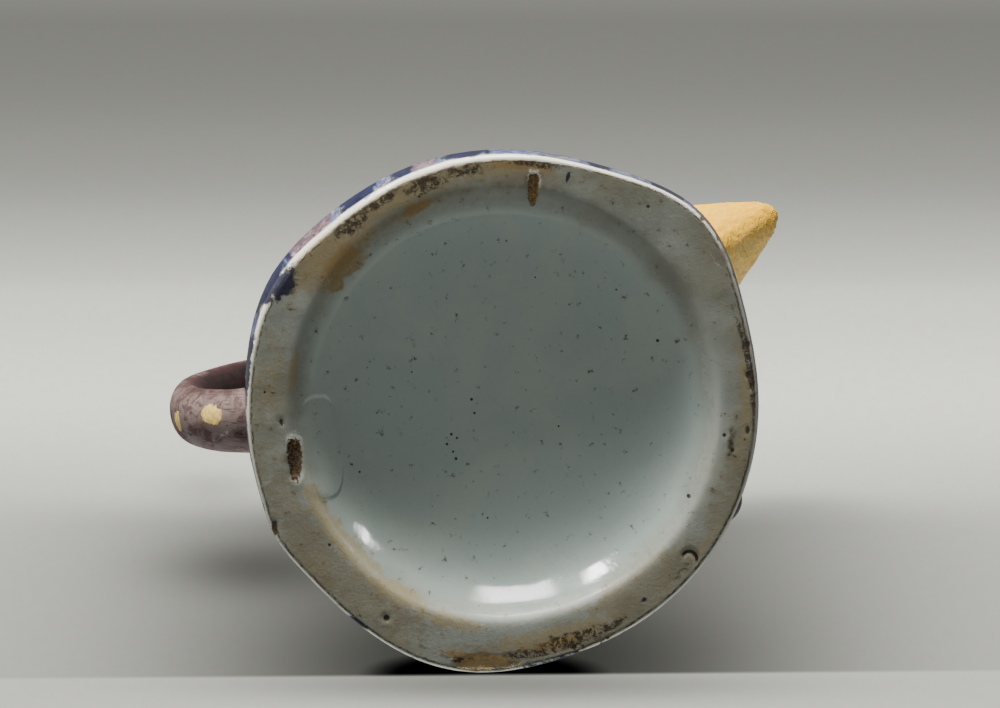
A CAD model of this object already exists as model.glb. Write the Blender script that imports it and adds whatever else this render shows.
import functools
import math

import bmesh
import bpy
import numpy as np
from mathutils import Matrix, Vector, noise
from mathutils.bvhtree import BVHTree


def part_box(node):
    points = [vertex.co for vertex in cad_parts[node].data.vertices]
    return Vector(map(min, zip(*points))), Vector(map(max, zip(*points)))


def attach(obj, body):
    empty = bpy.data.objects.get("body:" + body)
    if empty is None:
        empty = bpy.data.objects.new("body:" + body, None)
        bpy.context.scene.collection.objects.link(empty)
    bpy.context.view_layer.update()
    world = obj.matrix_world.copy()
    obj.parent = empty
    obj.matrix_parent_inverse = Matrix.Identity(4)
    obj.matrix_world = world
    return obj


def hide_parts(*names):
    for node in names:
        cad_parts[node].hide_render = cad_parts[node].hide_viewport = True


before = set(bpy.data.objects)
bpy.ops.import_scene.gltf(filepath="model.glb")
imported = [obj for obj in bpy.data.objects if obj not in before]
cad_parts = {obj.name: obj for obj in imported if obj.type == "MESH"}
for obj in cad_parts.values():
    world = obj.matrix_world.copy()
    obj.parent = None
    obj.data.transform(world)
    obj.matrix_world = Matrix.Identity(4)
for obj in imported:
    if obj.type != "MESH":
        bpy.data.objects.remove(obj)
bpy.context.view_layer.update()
cadLow, cadHigh = (Vector(corner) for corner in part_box("jug"))

mm = 0.001
leftAndRight = (1.0, -1.0)

# Each piece keeps what a user would change in its own dictionary, beside the code that uses it.
# Lengths in metres unless the name says otherwise; the figure is drawn in millimetres from its seat.
plinth = dict(footRadius=0.0527, height=0.0140, flare=0.0012, topRadius=0.0485,
              bulges=((38.0, 0.0043, 18.0), (146.0, 0.0017, 16.0), (204.0, 0.0011, 9.0),
                      (252.0, 0.0026, 22.0)),
              tuck=((128.0, 0.0013, 36.0),))
barrel = dict(height=0.0740, endRadius=0.0360, middleRadius=0.0400, setBack=0.0060, staves=20,
              jointDepth=0.0008, hoopThickness=0.0015, hoopShares=(0.08, 0.20, 0.68, 0.80))
seat = Vector((0.0, barrel["setBack"], plinth["height"] + barrel["height"]))
# Direction of the photo's right and up, seen on the underside
photoRoll = math.radians(6.0)
photoRight = Vector((math.sin(photoRoll), -math.cos(photoRoll), 0.0))
photoUp = Vector((-math.cos(photoRoll), -math.sin(photoRoll), 0.0))

clay = []   # every lump of the figure: (vertices, faces, name of its painted zone)
zoneNames = ["plinth", "barrel", "hoops", "coat", "lining", "waistcoat", "breeches", "stockings", "shoes",
             "buckles", "cuffs", "skin", "cravat", "buttons", "vessels", "hair", "hat", "handle"]


# Lumps of clay

def at(x, y, z):
    return seat + Vector((x, y, z)) * mm


def plainObject(name, mesh):
    made = bpy.data.objects.new(name, mesh)
    bpy.context.scene.collection.objects.link(made)
    return made


def meshFrom(name, vertices, faces):
    mesh = bpy.data.meshes.new(name)
    mesh.from_pydata([tuple(v) for v in vertices], [], faces)
    mesh.validate()
    return mesh


def formFrom(mesh):
    form = bmesh.new()
    form.from_mesh(mesh)
    form.verts.ensure_lookup_table()
    return form


def finishedMesh(thing):
    # The object's mesh after its modifiers
    bpy.context.view_layer.update()
    return bpy.data.meshes.new_from_object(thing.evaluated_get(bpy.context.evaluated_depsgraph_get()))


def addClay(vertices, faces, zone):
    clay.append(([Vector(v) for v in vertices], [tuple(f) for f in faces], zone))


def addForm(form, zone):
    form.verts.index_update()
    form.verts.ensure_lookup_table()
    addClay([v.co.copy() for v in form.verts], [[v.index for v in f.verts] for f in form.faces], zone)
    form.free()


def onCircle(number, count, radius=1.0):
    # X and Y of one of the evenly spaced points on a circle
    angle = math.tau * number / count
    return radius * math.cos(angle), radius * math.sin(angle)


def tubeFaces(levels, around):
    # The faces of a closed tube whose points come ring by ring
    faces = []
    for level in range(levels - 1):
        for corner in range(around):
            a, b = level * around + corner, level * around + (corner + 1) % around
            faces.append((a, b, b + around, a + around))
    return faces + [tuple(reversed(range(around))), tuple(range((levels - 1) * around, levels * around))]


def ball(centre, radii, zone, turn=0.0, lean=0.0, around=40, rings=26):
    form = bmesh.new()
    bmesh.ops.create_uvsphere(form, u_segments=around, v_segments=rings, radius=1.0)
    place = Matrix.Translation(centre) @ Matrix.Rotation(turn, 4, "Z") @ Matrix.Rotation(lean, 4, "X")
    form.transform(place @ Matrix.Diagonal((*radii, 1.0)))
    addForm(form, zone)


def alongPoints(points, radii, steps):
    # A smooth path through the points, and the radius along it
    path = []
    for knot in range(len(points) - 1):
        before, start = points[max(knot - 1, 0)], points[knot]
        end, after = points[knot + 1], points[min(knot + 2, len(points) - 1)]
        for step in range(steps):
            t = step / steps
            place = 0.5 * (2 * start + (end - before) * t + (2 * before - 5 * start + 4 * end - after) * t * t
                           + (3 * start - before - 3 * end + after) * t * t * t)
            ease = t * t * (3 - 2 * t)
            path.append((place, radii[knot] * (1 - ease) + radii[knot + 1] * ease))
    path.append((points[-1].copy(), radii[-1]))
    return path


def limb(points, sizes, zone, widen=1.0, roundEnds=True, around=28, steps=8):
    # A round or flattened bar along a smooth path; sizes are its radii in millimetres
    path = alongPoints(points, [size * mm for size in sizes], steps)
    middleX = sum(p.x for p in points) / len(points)
    vertices, side = [], None
    for step, (place, radius) in enumerate(path):
        ahead = path[min(step + 1, len(path) - 1)][0] - path[max(step - 1, 0)][0]
        ahead.normalize()
        if side is None:
            side = ahead.cross(Vector((0.3, 0.1, 1.0)) if abs(ahead.z) < 0.8
                               else Vector((1.0, 0.2, 0.0))).normalized()
        side = (side - ahead * side.dot(ahead)).normalized()
        other = ahead.cross(side)
        for corner in range(around):
            across, up = onCircle(corner, around)
            v = place + (side * across + other * up) * radius
            v.x = middleX + (v.x - middleX) * widen
            vertices.append(v)
    addClay(vertices, tubeFaces(len(path), around), zone)
    if roundEnds:
        for place, radius in (path[0], path[-1]):
            centre = Vector((middleX + (place.x - middleX) * widen, place.y, place.z))
            ball(centre, (radius * widen, radius, radius), zone)


def turned(profile, centre, zone, steps=72):
    # Turned on a wheel: the profile is (radius, height) from the top down
    vertices = []
    for radius, height in profile:
        for corner in range(steps):
            vertices.append(Vector((*onCircle(corner, steps, radius), height)) + Vector(centre))
    faces = [(f[1], f[0], f[3], f[2]) if len(f) == 4 else f[::-1] for f in tubeFaces(len(profile), steps)]
    addClay(vertices, faces, zone)


def loft(rings, corners=72, ripple=None):
    # Level oval rings, lowest first: (centre, radius along X, radius along Y)
    vertices = []
    for centre, radiusX, radiusY in rings:
        for corner in range(corners):
            push = ripple(math.tau * corner / corners, centre[2]) if ripple else 0.0
            x, y = onCircle(corner, corners)
            vertices.append(Vector(centre) + Vector(((radiusX + push) * x, (radiusY + push) * y, 0)))
    return vertices, tubeFaces(len(rings), corners)


def smoothRings(knots, steps=5):
    # More rings between the given ones, on a smooth curve through them
    still = [0] * len(knots)
    across = [p[0] for p in alongPoints([Vector((k[1], k[2], 0)) for k in knots], still, steps)]
    places = [p[0] for p in alongPoints([Vector(k[0]) for k in knots], still, steps)]
    return [(tuple(place), size.x, size.y) for place, size in zip(places, across)]


# Node trees

socketKinds = {"v": "NodeSocketVector", "f": "NodeSocketFloat", "c": "NodeSocketColor", "i": "NodeSocketInt",
               "g": "NodeSocketGeometry", "m": "NodeSocketMaterial"}


class Bench:
    # Short hands for one node tree: values may be numbers, colours or other nodes' outputs
    def __init__(self, tree):
        self.tree = tree

    def node(self, kind, **settings):
        made = self.tree.nodes.new(kind)
        for name, value in settings.items():
            setattr(made, name, value)
        return made

    def feed(self, socket, value):
        if isinstance(value, bpy.types.NodeSocket):
            self.tree.links.new(value, socket)
        elif value is not None:
            socket.default_value = value

    def fill(self, made, **values):
        # Feeds the inputs by name, with underscores for spaces
        for name, value in values.items():
            self.feed(made.inputs[name.replace("_", " ")], value)
        return made.outputs

    def made(self, kind, **values):
        return self.fill(self.node(kind), **values)

    def group(self, name, **values):
        return self.fill(self.node("ShaderNodeGroup", node_tree=groups[name]), **values)

    def math(self, operation, *values):
        made = self.node("ShaderNodeMath", operation=operation)
        for slot, value in enumerate(values):
            self.feed(made.inputs[slot], value)
        return made.outputs[0]

    def add(self, a, b):
        return self.math("ADD", a, b)

    def sub(self, a, b):
        return self.math("SUBTRACT", a, b)

    def mul(self, a, b):
        return self.math("MULTIPLY", a, b)

    def div(self, a, b):
        return self.math("DIVIDE", a, b)

    def size(self, value):
        return self.math("ABSOLUTE", value)

    def power(self, value, exponent):
        return self.math("POWER", value, exponent)

    def swing(self, value, width):
        # A value from 0 to 1, turned about its middle and stretched
        return self.mul(self.sub(value, 0.5), width)

    def bell(self, a, b):
        return self.math("EXPONENT", self.mul(self.add(self.mul(a, a), self.mul(b, b)), -1.0))

    def product(self, *values):
        return functools.reduce(self.mul, values)

    def most(self, *values):
        return functools.reduce(lambda a, b: self.math("MAXIMUM", a, b), values)

    def step(self, value, low, high, outLow=0.0, outHigh=1.0):
        # A soft step up between low and high
        made = self.node("ShaderNodeMapRange", interpolation_type="SMOOTHSTEP")
        return self.fill(made, Value=value, From_Min=low, From_Max=high, To_Min=outLow,
                         To_Max=outHigh)["Result"]

    def fade(self, value, low, high):
        # A soft step down
        return self.step(value, low, high, 1.0, 0.0)

    def mix(self, share, under, over, blend="MIX"):
        made = self.node("ShaderNodeMix", data_type="RGBA", blend_type=blend, clamp_factor=True)
        for slot, value in ((0, share), (6, under), (7, over)):
            self.feed(made.inputs[slot], value)
        return made.outputs[2]

    def vector(self, operation, a, b=None, scale=None):
        made = self.node("ShaderNodeVectorMath", operation=operation)
        for slot, value in ((0, a), (1, b), (3, scale)):
            self.feed(made.inputs[slot], value)
        return made.outputs["Value" if operation == "DOT_PRODUCT" else "Vector"]

    def dot(self, a, b):
        return self.vector("DOT_PRODUCT", a, tuple(b))

    def split(self, vector):
        return tuple(self.made("ShaderNodeSeparateXYZ", Vector=vector))

    def join(self, x, y, z):
        return self.made("ShaderNodeCombineXYZ", X=x, Y=y, Z=z)[0]

    def noise(self, place, scale, detail=3.0, roughness=0.55, distortion=0.0):
        return self.made("ShaderNodeTexNoise", Vector=place, Scale=scale, Detail=detail, Roughness=roughness,
                         Distortion=distortion)["Fac"]

    def cells(self, place, scale, spread=1.0):
        return self.made("ShaderNodeTexVoronoi", Vector=place, Scale=scale, Randomness=spread)["Distance"]

    def attribute(self, name):
        return self.node("ShaderNodeAttribute", attribute_name=name).outputs["Fac"]

    def surface(self, name):
        return self.node("ShaderNodeNewGeometry").outputs[name]


def newTree(kind, name, ins, outs):
    tree = bpy.data.node_groups.new(name, kind)
    for label, letter, value in ins:
        socket = tree.interface.new_socket(label, in_out="INPUT", socket_type=socketKinds[letter])
        if value is not None:
            socket.default_value = value
    for label, letter in outs:
        tree.interface.new_socket(label, in_out="OUTPUT", socket_type=socketKinds[letter])
    b = Bench(tree)
    return tree, b, b.node("NodeGroupInput").outputs, b.node("NodeGroupOutput").inputs


def growingTree(name, ins):
    whole = [("Geometry", "g", None)] + ins + [("Material", "m", None)]
    return newTree("GeometryNodeTree", name, whole, [("Geometry", "g")])


def finishTree(b, source, i, o):
    real = b.made("GeometryNodeRealizeInstances", Geometry=source)["Geometry"]
    b.feed(o["Geometry"], b.made("GeometryNodeSetMaterial", Geometry=real,
                                 Material=i["Material"])["Geometry"])


def growTree(tree, data, values, zone):
    # Runs the tree once, turns its result into a plain mesh and keeps that as clay
    carrier = plainObject("carrier", data)
    modifier = carrier.modifiers.new("grow", "NODES")
    modifier.node_group = tree
    for item in tree.interface.items_tree:
        if item.in_out == "INPUT" and item.name in values:
            modifier[item.identifier] = values[item.name]
    mesh = finishedMesh(carrier)
    form = formFrom(mesh)
    bmesh.ops.remove_doubles(form, verts=form.verts, dist=1e-6)
    bmesh.ops.recalc_face_normals(form, faces=form.faces)
    addForm(form, zone)
    bpy.data.objects.remove(carrier, do_unlink=True)
    bpy.data.meshes.remove(mesh)


def barrelTree():
    # An upright barrel: staves that meet in shallow joints, and turned hoops
    tree, b, i, o = growingTree("staved barrel", [
        ("Foot Height", "f", 0.014), ("Height", "f", 0.074), ("End Radius", "f", 0.036),
        ("Middle Radius", "f", 0.040), ("Set Back", "f", 0.006), ("Staves", "i", 20),
        ("Joint Depth", "f", 0.0008), ("Hoop Thickness", "f", 0.0015)])
    cylinder = b.made("GeometryNodeMeshCylinder", Vertices=360, Side_Segments=220, Fill_Segments=1,
                      Radius=1.0, Depth=1.0)
    x, y, z = b.split(b.made("GeometryNodeInputPosition")[0])
    share, angle = b.add(z, 0.5), b.math("ARCTAN2", y, x)
    bulge = b.mul(b.sub(i["Middle Radius"], i["End Radius"]), b.math("SINE", b.mul(share, math.pi)))
    wave = b.size(b.math("COSINE", b.mul(angle, b.mul(i["Staves"], 0.5))))
    joint = b.mul(b.power(wave, 30.0), i["Joint Depth"])
    radius = b.sub(b.add(i["End Radius"], bulge), joint)
    for hoopShare in barrel["hoopShares"]:
        off = b.div(b.mul(b.sub(share, hoopShare), i["Height"]), i["Hoop Thickness"])
        inside = b.math("MAXIMUM", b.sub(1.0, b.mul(off, off)), 0.0)
        radius = b.add(radius, b.mul(b.power(inside, 0.4), b.add(i["Hoop Thickness"], joint)))
    reach = b.mul(b.math("SQRT", b.add(b.mul(x, x), b.mul(y, y))), radius)
    place = b.join(b.mul(b.math("COSINE", angle), reach),
                   b.add(b.mul(b.math("SINE", angle), reach), i["Set Back"]),
                   b.add(i["Foot Height"], b.mul(share, i["Height"])))
    moved = b.made("GeometryNodeSetPosition", Geometry=cylinder["Mesh"], Position=place)
    finishTree(b, moved["Geometry"], i, o)
    return tree


def buttonTree():
    # A row of domed buttons down a bowed front
    tree, b, i, o = growingTree("button row", [
        ("Count", "i", 4), ("Top", "v", (0, 0, 0)), ("Drop", "f", 0.03), ("Bow", "f", 0.008),
        ("Button Radius", "f", 0.0025)])
    line = b.made("GeometryNodeMeshLine", Count=i["Count"], Start_Location=i["Top"], Offset=(0, 0, 0))
    share = b.div(b.made("GeometryNodeInputIndex")[0], b.sub(i["Count"], 1.0))
    bowed = b.mul(b.math("SINE", b.mul(b.add(b.mul(share, 0.62), 0.12), math.pi)), i["Bow"])
    bent = b.join(0.0, b.mul(bowed, -1.0), b.mul(b.mul(share, i["Drop"]), -1.0))
    moved = b.made("GeometryNodeSetPosition", Geometry=line["Mesh"], Offset=bent)
    dome = b.made("GeometryNodeMeshUVSphere", Segments=24, Rings=14, Radius=i["Button Radius"])
    placed = b.made("GeometryNodeInstanceOnPoints", Points=moved["Geometry"], Instance=dome["Mesh"],
                    Scale=(1.0, 0.75, 1.0))
    finishTree(b, placed["Instances"], i, o)
    return tree


def lockTree():
    # Hair: every spline becomes a lock, grooved along its length and tapered by its own radius
    tree, b, i, o = growingTree("combed locks",
                                [("Grooves", "i", 5), ("Groove Depth", "f", 0.12), ("Corners", "i", 30)])
    ring = b.made("GeometryNodeCurvePrimitiveCircle", Resolution=i["Corners"], Radius=1.0)
    place = b.made("GeometryNodeInputPosition")[0]
    x, y = b.split(place)[:2]
    grooves = b.size(b.math("SINE", b.mul(b.math("ARCTAN2", y, x), b.mul(i["Grooves"], 0.5))))
    reach = b.sub(1.0, b.mul(b.sub(1.0, b.power(grooves, 0.6)), i["Groove Depth"]))
    shape = b.made("GeometryNodeSetPosition", Geometry=ring["Curve"],
                   Position=b.vector("SCALE", place, scale=reach))
    skin = b.node("GeometryNodeCurveToMesh")
    b.fill(skin, Curve=i["Geometry"], Profile_Curve=shape["Geometry"], Fill_Caps=True)
    if "Scale" in skin.inputs:
        b.fill(skin, Scale=b.made("GeometryNodeInputRadius")[0])
    finishTree(b, skin.outputs["Mesh"], i, o)
    return tree


def splinesFrom(strands):
    # One curve with a smooth spline for each strand of (place, radius)
    curve = bpy.data.curves.new("strands", "CURVE")
    curve.dimensions, curve.resolution_u = "3D", 8
    for strand in strands:
        spline = curve.splines.new("BEZIER")
        spline.bezier_points.add(len(strand) - 1)
        for knot, (place, radius) in zip(spline.bezier_points, strand):
            knot.co, knot.radius = place, radius
            knot.handle_left_type = knot.handle_right_type = "AUTO"
    return curve


# The plinth, the barrel and the figure

def wayFromFront(point):
    return math.degrees(math.atan2(-point.x, -point.y)) % 360.0


def outlineRise(point, bulges="bulges"):
    way, rise = wayFromFront(point), 0.0
    for middle, height, spread in plinth[bulges]:
        off = (way - middle + 180.0) % 360.0 - 180.0
        rise += height * math.exp(-((off / spread) ** 2))
    return rise


def makePlinth():
    top, radius = plinth["height"], plinth["footRadius"]
    widest = radius + plinth["flare"]
    profile = [(0.0005, top + 0.0015), (plinth["topRadius"] * 0.80, top + 0.0008),
               (plinth["topRadius"], top - 0.0010), (widest - 0.0012, top * 0.82),
               (widest - 0.0003, top * 0.66), (widest, top * 0.52), (widest - 0.0005, top * 0.30),
               (radius + 0.0004, top * 0.10), (radius - 0.0002, 0.0), (radius - 0.0002, -0.003),
               (0.0005, -0.003)]
    turned(profile, (0, 0, 0), "plinth", steps=180)
    vertices = clay[-1][0]
    for v in vertices:
        reach = math.hypot(v.x, v.y)
        share = min(1.0, reach / radius)
        # the foot itself is drawn in under the flare towards the top left of the photo
        drawn = outlineRise(v, "tuck") * max(0.0, 1.0 - max(v.z, 0.0) / (top * 0.5))
        grown = 1.0 + (outlineRise(v) - drawn) * share**4 / reach
        v.x *= grown
        v.y *= grown


def makeBarrel():
    growTree(barrelTree(), bpy.data.meshes.new("empty"), {
        "Foot Height": plinth["height"] - 0.001, "Height": barrel["height"] + 0.001,
        "End Radius": barrel["endRadius"], "Middle Radius": barrel["middleRadius"],
        "Set Back": barrel["setBack"], "Staves": barrel["staves"],
        "Joint Depth": barrel["jointDepth"], "Hoop Thickness": barrel["hoopThickness"]}, "barrel")
    for share in barrel["hoopShares"]:
        height = plinth["height"] + barrel["height"] * share
        bulge = (barrel["middleRadius"] - barrel["endRadius"]) * math.sin(math.pi * share)
        radius = barrel["endRadius"] + bulge
        half, thick = barrel["hoopThickness"] * 0.9, barrel["hoopThickness"]
        turned([(0.001, height + half), (radius, height + half), (radius + thick * 0.9, height + half * 0.6),
                (radius + thick * 1.02, height), (radius + thick * 0.9, height - half * 0.6),
                (radius, height - half), (0.001, height - half)],
               (0, barrel["setBack"], 0), "hoops", steps=160)


body = dict(rings=((-6, -1, 36.0, 29.0), (4, -2, 37.5, 31.0), (16, -4, 36.5, 32.5), (30, -4, 34.0, 30.5),
                   (44, -2, 33.0, 26.0), (55, 0, 33.5, 22.5), (61, 0, 31.5, 20.8), (66, -0.5, 27.5, 18.8),
                   (70, -1.5, 22.5, 17.0), (75, -5, 16.0, 14.5), (84, -12, 13.5, 13.0)),
            skirtLevels=((4, 37.5, 32.0), (-8, 42.0, 40.5), (-20, 44.5, 43.6), (-32, 46.0, 44.6)),
            skirtOpening=62.0, folds=13)


def makeTorso():
    rings = [(tuple(at(0, y, z)), across * mm, deep * mm) for z, y, across, deep in body["rings"]]
    addClay(*loft(smoothRings(rings), corners=120), "coat")


def makeCoatSkirts():
    corners, opening = 260, math.radians(body["skirtOpening"])
    knots = body["skirtLevels"]
    levels = []
    for drop in range(13):
        place = drop / 12 * (len(knots) - 1)
        low, share = min(int(place), len(knots) - 2), place - min(int(place), len(knots) - 2)
        levels.append((place, *[a + (b - a) * share for a, b in zip(knots[low], knots[low + 1])]))
    vertices, faces = [], []
    for place, height, across, deep in levels:
        for corner in range(corners + 1):
            way = opening + (math.tau - 2 * opening) * corner / corners
            fold = 0.48 * place * math.cos(body["folds"] * way) + 0.15 * place * math.cos(31 * way + 1.0)
            hem = 1.6 * math.cos(5 * way) * (place / 3.0)
            reach = Vector((-math.sin(way) * (across + fold), -math.cos(way) * (deep + fold), height + hem))
            vertices.append(at(*reach))
            vertices.append(at(reach.x * 0.82, reach.y * 0.82, reach.z))
    row = 2 * (corners + 1)
    for level in range(len(levels) - 1):
        for corner in range(corners):
            a = level * row + 2 * corner
            faces.append((a, a + row, a + row + 2, a + 2))
            faces.append((a + 1, a + 3, a + row + 3, a + row + 1))
    for level in (0, len(levels) - 1):
        for corner in range(corners):
            a = level * row + 2 * corner
            faces.append((a, a + 2, a + 3, a + 1))
    for level in range(len(levels) - 1):
        for corner in (0, corners):
            a = level * row + 2 * corner
            faces.append((a, a + 1, a + row + 1, a + row))
    addClay(vertices, faces, "coat")


legs = dict(hip=(17, -4, 6), knee=(23, -40, 1), ankle=(21.5, -38), heel=(21, -34), toe=(25.5, -49.5))


def makeLegs():
    ground = (plinth["height"] - seat.z) / mm
    for side in leftAndRight:
        mirror = lambda p, z=None: at(side * p[0], p[1], p[2] if z is None else z)
        hip, knee = mirror(legs["hip"]), mirror(legs["knee"])
        limb([hip, (hip + knee) / 2 + Vector((0, 0, 0.002)), knee], (15.5, 14.6, 12.4), "breeches")
        for fold in range(3):   # creases across the bent knee
            along = 0.80 + 0.08 * fold
            place = hip.lerp(knee, along)
            limb([place + Vector((side * -9, 0, 7 - fold)) * mm,
                  place + Vector((side * 1, -1.0, 13.6 - 0.9 * fold)) * mm,
                  place + Vector((side * 10, 1, 7 - fold)) * mm], (0.7, 1.3, 0.7), "breeches", around=14)
        ankle = mirror(legs["ankle"], ground + 10)
        calf = knee.lerp(ankle, 0.42) + Vector((0, 0.0022, 0))
        limb([knee, knee.lerp(ankle, 0.18), calf, ankle], (12.0, 9.4, 9.4, 6.4), "stockings")
        limb([knee, knee.lerp(ankle, 0.16)], (12.3, 10.4), "breeches", roundEnds=False)
        ball(knee.lerp(ankle, 0.19), (10.9 * mm, 10.9 * mm, 2.2 * mm), "cuffs")
        ball(knee.lerp(ankle, 0.19) + Vector((side * 9.6, -3.5, 0)) * mm, (2.2 * mm, 2.2 * mm, 2.4 * mm),
             "buttons")
        heel, toe = mirror(legs["heel"], ground + 5), mirror(legs["toe"], ground + 4.2)
        limb([heel, heel.lerp(toe, 0.5), toe], (6.6, 7.2, 5.8), "shoes")
        limb([heel + Vector((0, -2, 6.4)) * mm, heel + Vector((0, -6, 8.6)) * mm], (6.6, 4.6), "shoes")
        turned([(0.0, 1.5), (6.8, 1.5), (7.1, 0.5), (7.1, -3.0), (0.0, -3.0)], (0, 0, 0), "shoes", steps=48)
        vertices = clay[-1][0]
        for v in vertices:
            v.xyz = heel + Vector((v.x * mm, v.y * mm, v.z * mm - 3.2 * mm))
        buckle = mirror((23.2, -46.0), ground + 10.0)
        ball(buckle, (4.4 * mm, 2.4 * mm, 1.9 * mm), "buckles", lean=0.5)
        limb([buckle + Vector((side * a, b, c)) * mm for a, b, c in
              ((-3.4, 1.6, 1.2), (3.4, 1.6, 1.2), (3.9, -1.2, -1.0), (-3.9, -1.2, -1.0), (-3.4, 1.6, 1.2))],
             [0.8] * 5, "buckles", around=10, steps=5)


beakerPlace, tankardPlace = at(-13.5, -45.0, 0), at(17.0, -43.0, 0)
arms = (dict(shoulder=(-28, 1, 54), elbow=(-44, -5, 26), wrist=(-30, -34, 36), hand=(-22, -41, 42),
             held=beakerPlace, grip=8.2, lowFinger=40.0),
        dict(shoulder=(28, 1, 54), elbow=(44, -6, 25), wrist=(33, -33, 21), hand=(26.5, -38, 24),
             held=tankardPlace, grip=10.6, lowFinger=17.0))


def makeArms():
    for arm in arms:
        side = math.copysign(1.0, arm["shoulder"][0])
        shoulder, elbow, wrist, hand = (at(*arm[part]) for part in ("shoulder", "elbow", "wrist", "hand"))
        limb([shoulder, shoulder.lerp(elbow, 0.5), elbow], (10.5, 10.2, 9.6), "coat")
        limb([elbow, elbow.lerp(wrist, 0.5), wrist], (9.6, 8.8, 7.4), "coat")
        # sleeve creases at the bend
        for fold in range(3):
            place = shoulder.lerp(elbow, 0.62 + 0.13 * fold)
            ahead = (elbow - shoulder).normalized()
            inward = Vector((-side * 0.3, -1.0, 0.1)).normalized()
            inward = (inward - ahead * inward.dot(ahead)).normalized()
            cross = ahead.cross(inward)
            limb([place + cross * 0.0078 + inward * 0.0050, place + inward * 0.0094 + ahead * 0.0010,
                  place - cross * 0.0078 + inward * 0.0050], (0.6, 1.3, 0.6), "coat", around=14)
        start, end = elbow.lerp(wrist, 0.62), elbow.lerp(wrist, 0.98)
        limb([start, end], (9.5, 11.0), "cuffs", roundEnds=False, around=48)
        ahead = (end - start).normalized()
        for button in range(3):
            way = math.radians(-70 + 40 * button)
            inward = Vector((side * 0.2, -0.4, 0.9))
            inward = (inward - ahead * inward.dot(ahead)).normalized()
            out = Matrix.Rotation(way * side, 3, ahead) @ inward
            ball(start.lerp(end, 0.42) + out * 0.0100, (1.7 * mm, 1.7 * mm, 1.7 * mm), "buttons", around=20,
                 rings=12)
        # shirt frill out of the cuff, then the hand
        frill = end + ahead * 0.0012
        limb([end - ahead * 0.001, frill + ahead * 0.0012], (7.2, 8.0), "cravat", roundEnds=False, around=40)
        limb([wrist, wrist.lerp(hand, 0.6), hand], (5.4, 6.0, 5.4), "skin")
        held, reach = arm["held"], arm["grip"] + 1.4
        for finger in range(4):
            height = arm["lowFinger"] + 4.1 * finger
            knuckles = []
            for bend in (10.0, 50.0, 92.0, 128.0 + 4.0 * (finger % 2)):
                way = math.radians(bend - 4.0 * finger)
                knuckles.append(held + Vector((side * math.cos(way) * reach, -math.sin(way) * reach, height))
                                * mm)
            limb(knuckles, (2.3, 2.35, 2.1, 1.8), "skin", around=20)
        thumbWay = (-8.0, -44.0, -78.0)
        thumb = [held + Vector((side * math.cos(math.radians(w)) * reach, -math.sin(math.radians(w)) * reach,
                                arm["lowFinger"] + 12.5 + 2.0 * n)) * mm for n, w in enumerate(thumbWay)]
        limb(thumb, (2.8, 2.6, 2.2), "skin", around=20)


def makeVessels():
    beaker = [(0.1, 62), (6.6, 62), (7.4, 62.2), (8.1, 62.1), (8.6, 61.4), (8.5, 58), (8.2, 52), (7.1, 43),
              (6.2, 34), (6.5, 32.4), (6.8, 31.6), (6.6, 31), (0.1, 31)]
    turned([(r * mm, h * mm) for r, h in beaker], beakerPlace, "vessels", steps=96)
    tankard = [(0.1, 45), (7.6, 45), (8.2, 45.2), (8.9, 45.0), (9.4, 44.2), (9.1, 41), (8.8, 38), (9.4, 34),
               (10.2, 29), (10.6, 25), (10.7, 20), (10.4, 15), (9.8, 11.6), (9.9, 10.6), (9.6, 10), (0.1, 10)]
    turned([(r * mm, h * mm) for r, h in tankard], tankardPlace, "vessels", steps=96)


def makeDress():
    ball(at(0, -15, 75), (13 * mm, 11 * mm, 6.2 * mm), "cravat")
    ball(at(0, -24.5, 71), (5.5 * mm, 4.2 * mm, 5.0 * mm), "cravat")
    for side in leftAndRight:
        limb([at(side * 2, -25, 69), at(side * 3.2, -26.5, 60), at(side * 4.2, -30, 51)], (3.0, 4.0, 4.4),
             "cravat")
        for pleat in (-1, 0, 1):
            x = side * (3.2 + 1.5 * pleat)
            limb([at(side * 2 + pleat, -28.2, 68), at(x, -30.4, 60), at(x + side * 1.0, -34.2, 51)],
                 (0.5, 0.9, 1.0), "cravat", around=12)
        edge = [at(side * 9, -18.5, 64), at(side * 12, -24.5, 48), at(side * 14, -31, 30),
                at(side * 17, -32, 12)]
        limb(edge, (3.6, 3.8, 3.6, 3.2), "lining")
        # turned-down collar round the shoulders
        collar = []
        for step in range(7):
            way = math.radians(28 + 25.0 * step)
            collar.append(at(side * math.sin(way) * 23.5, -math.cos(way) * 18.5 - 1.0,
                             70.5 - 1.2 * math.cos(way)))
        limb(collar, (2.2, 3.2, 3.4, 3.4, 3.4, 3.3, 3.2), "lining")
    growTree(buttonTree(), bpy.data.meshes.new("empty"), {
        "Count": 4, "Top": at(0, -29.6, 43), "Drop": 0.0315, "Bow": 0.0075,
        "Button Radius": 0.0026}, "buttons")


head = dict(size=1.06, turn=math.radians(24.3), middle=(1.5, -16, 92))


def headPlace(x, y, z):
    turned = Matrix.Rotation(-head["turn"], 3, "Z") @ Vector((x, y, z))
    return at(*head["middle"]) + turned * mm * head["size"]


def headBall(centre, radii, zone, turn=0.0, lean=0.0):
    ball(headPlace(*centre), tuple(r * mm * head["size"] for r in radii), zone, turn=turn - head["turn"],
         lean=lean, around=48, rings=32)


def headLimb(points, radii, zone, around=16):
    limb([headPlace(*p) for p in points], [r * head["size"] for r in radii], zone, around=around)


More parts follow.
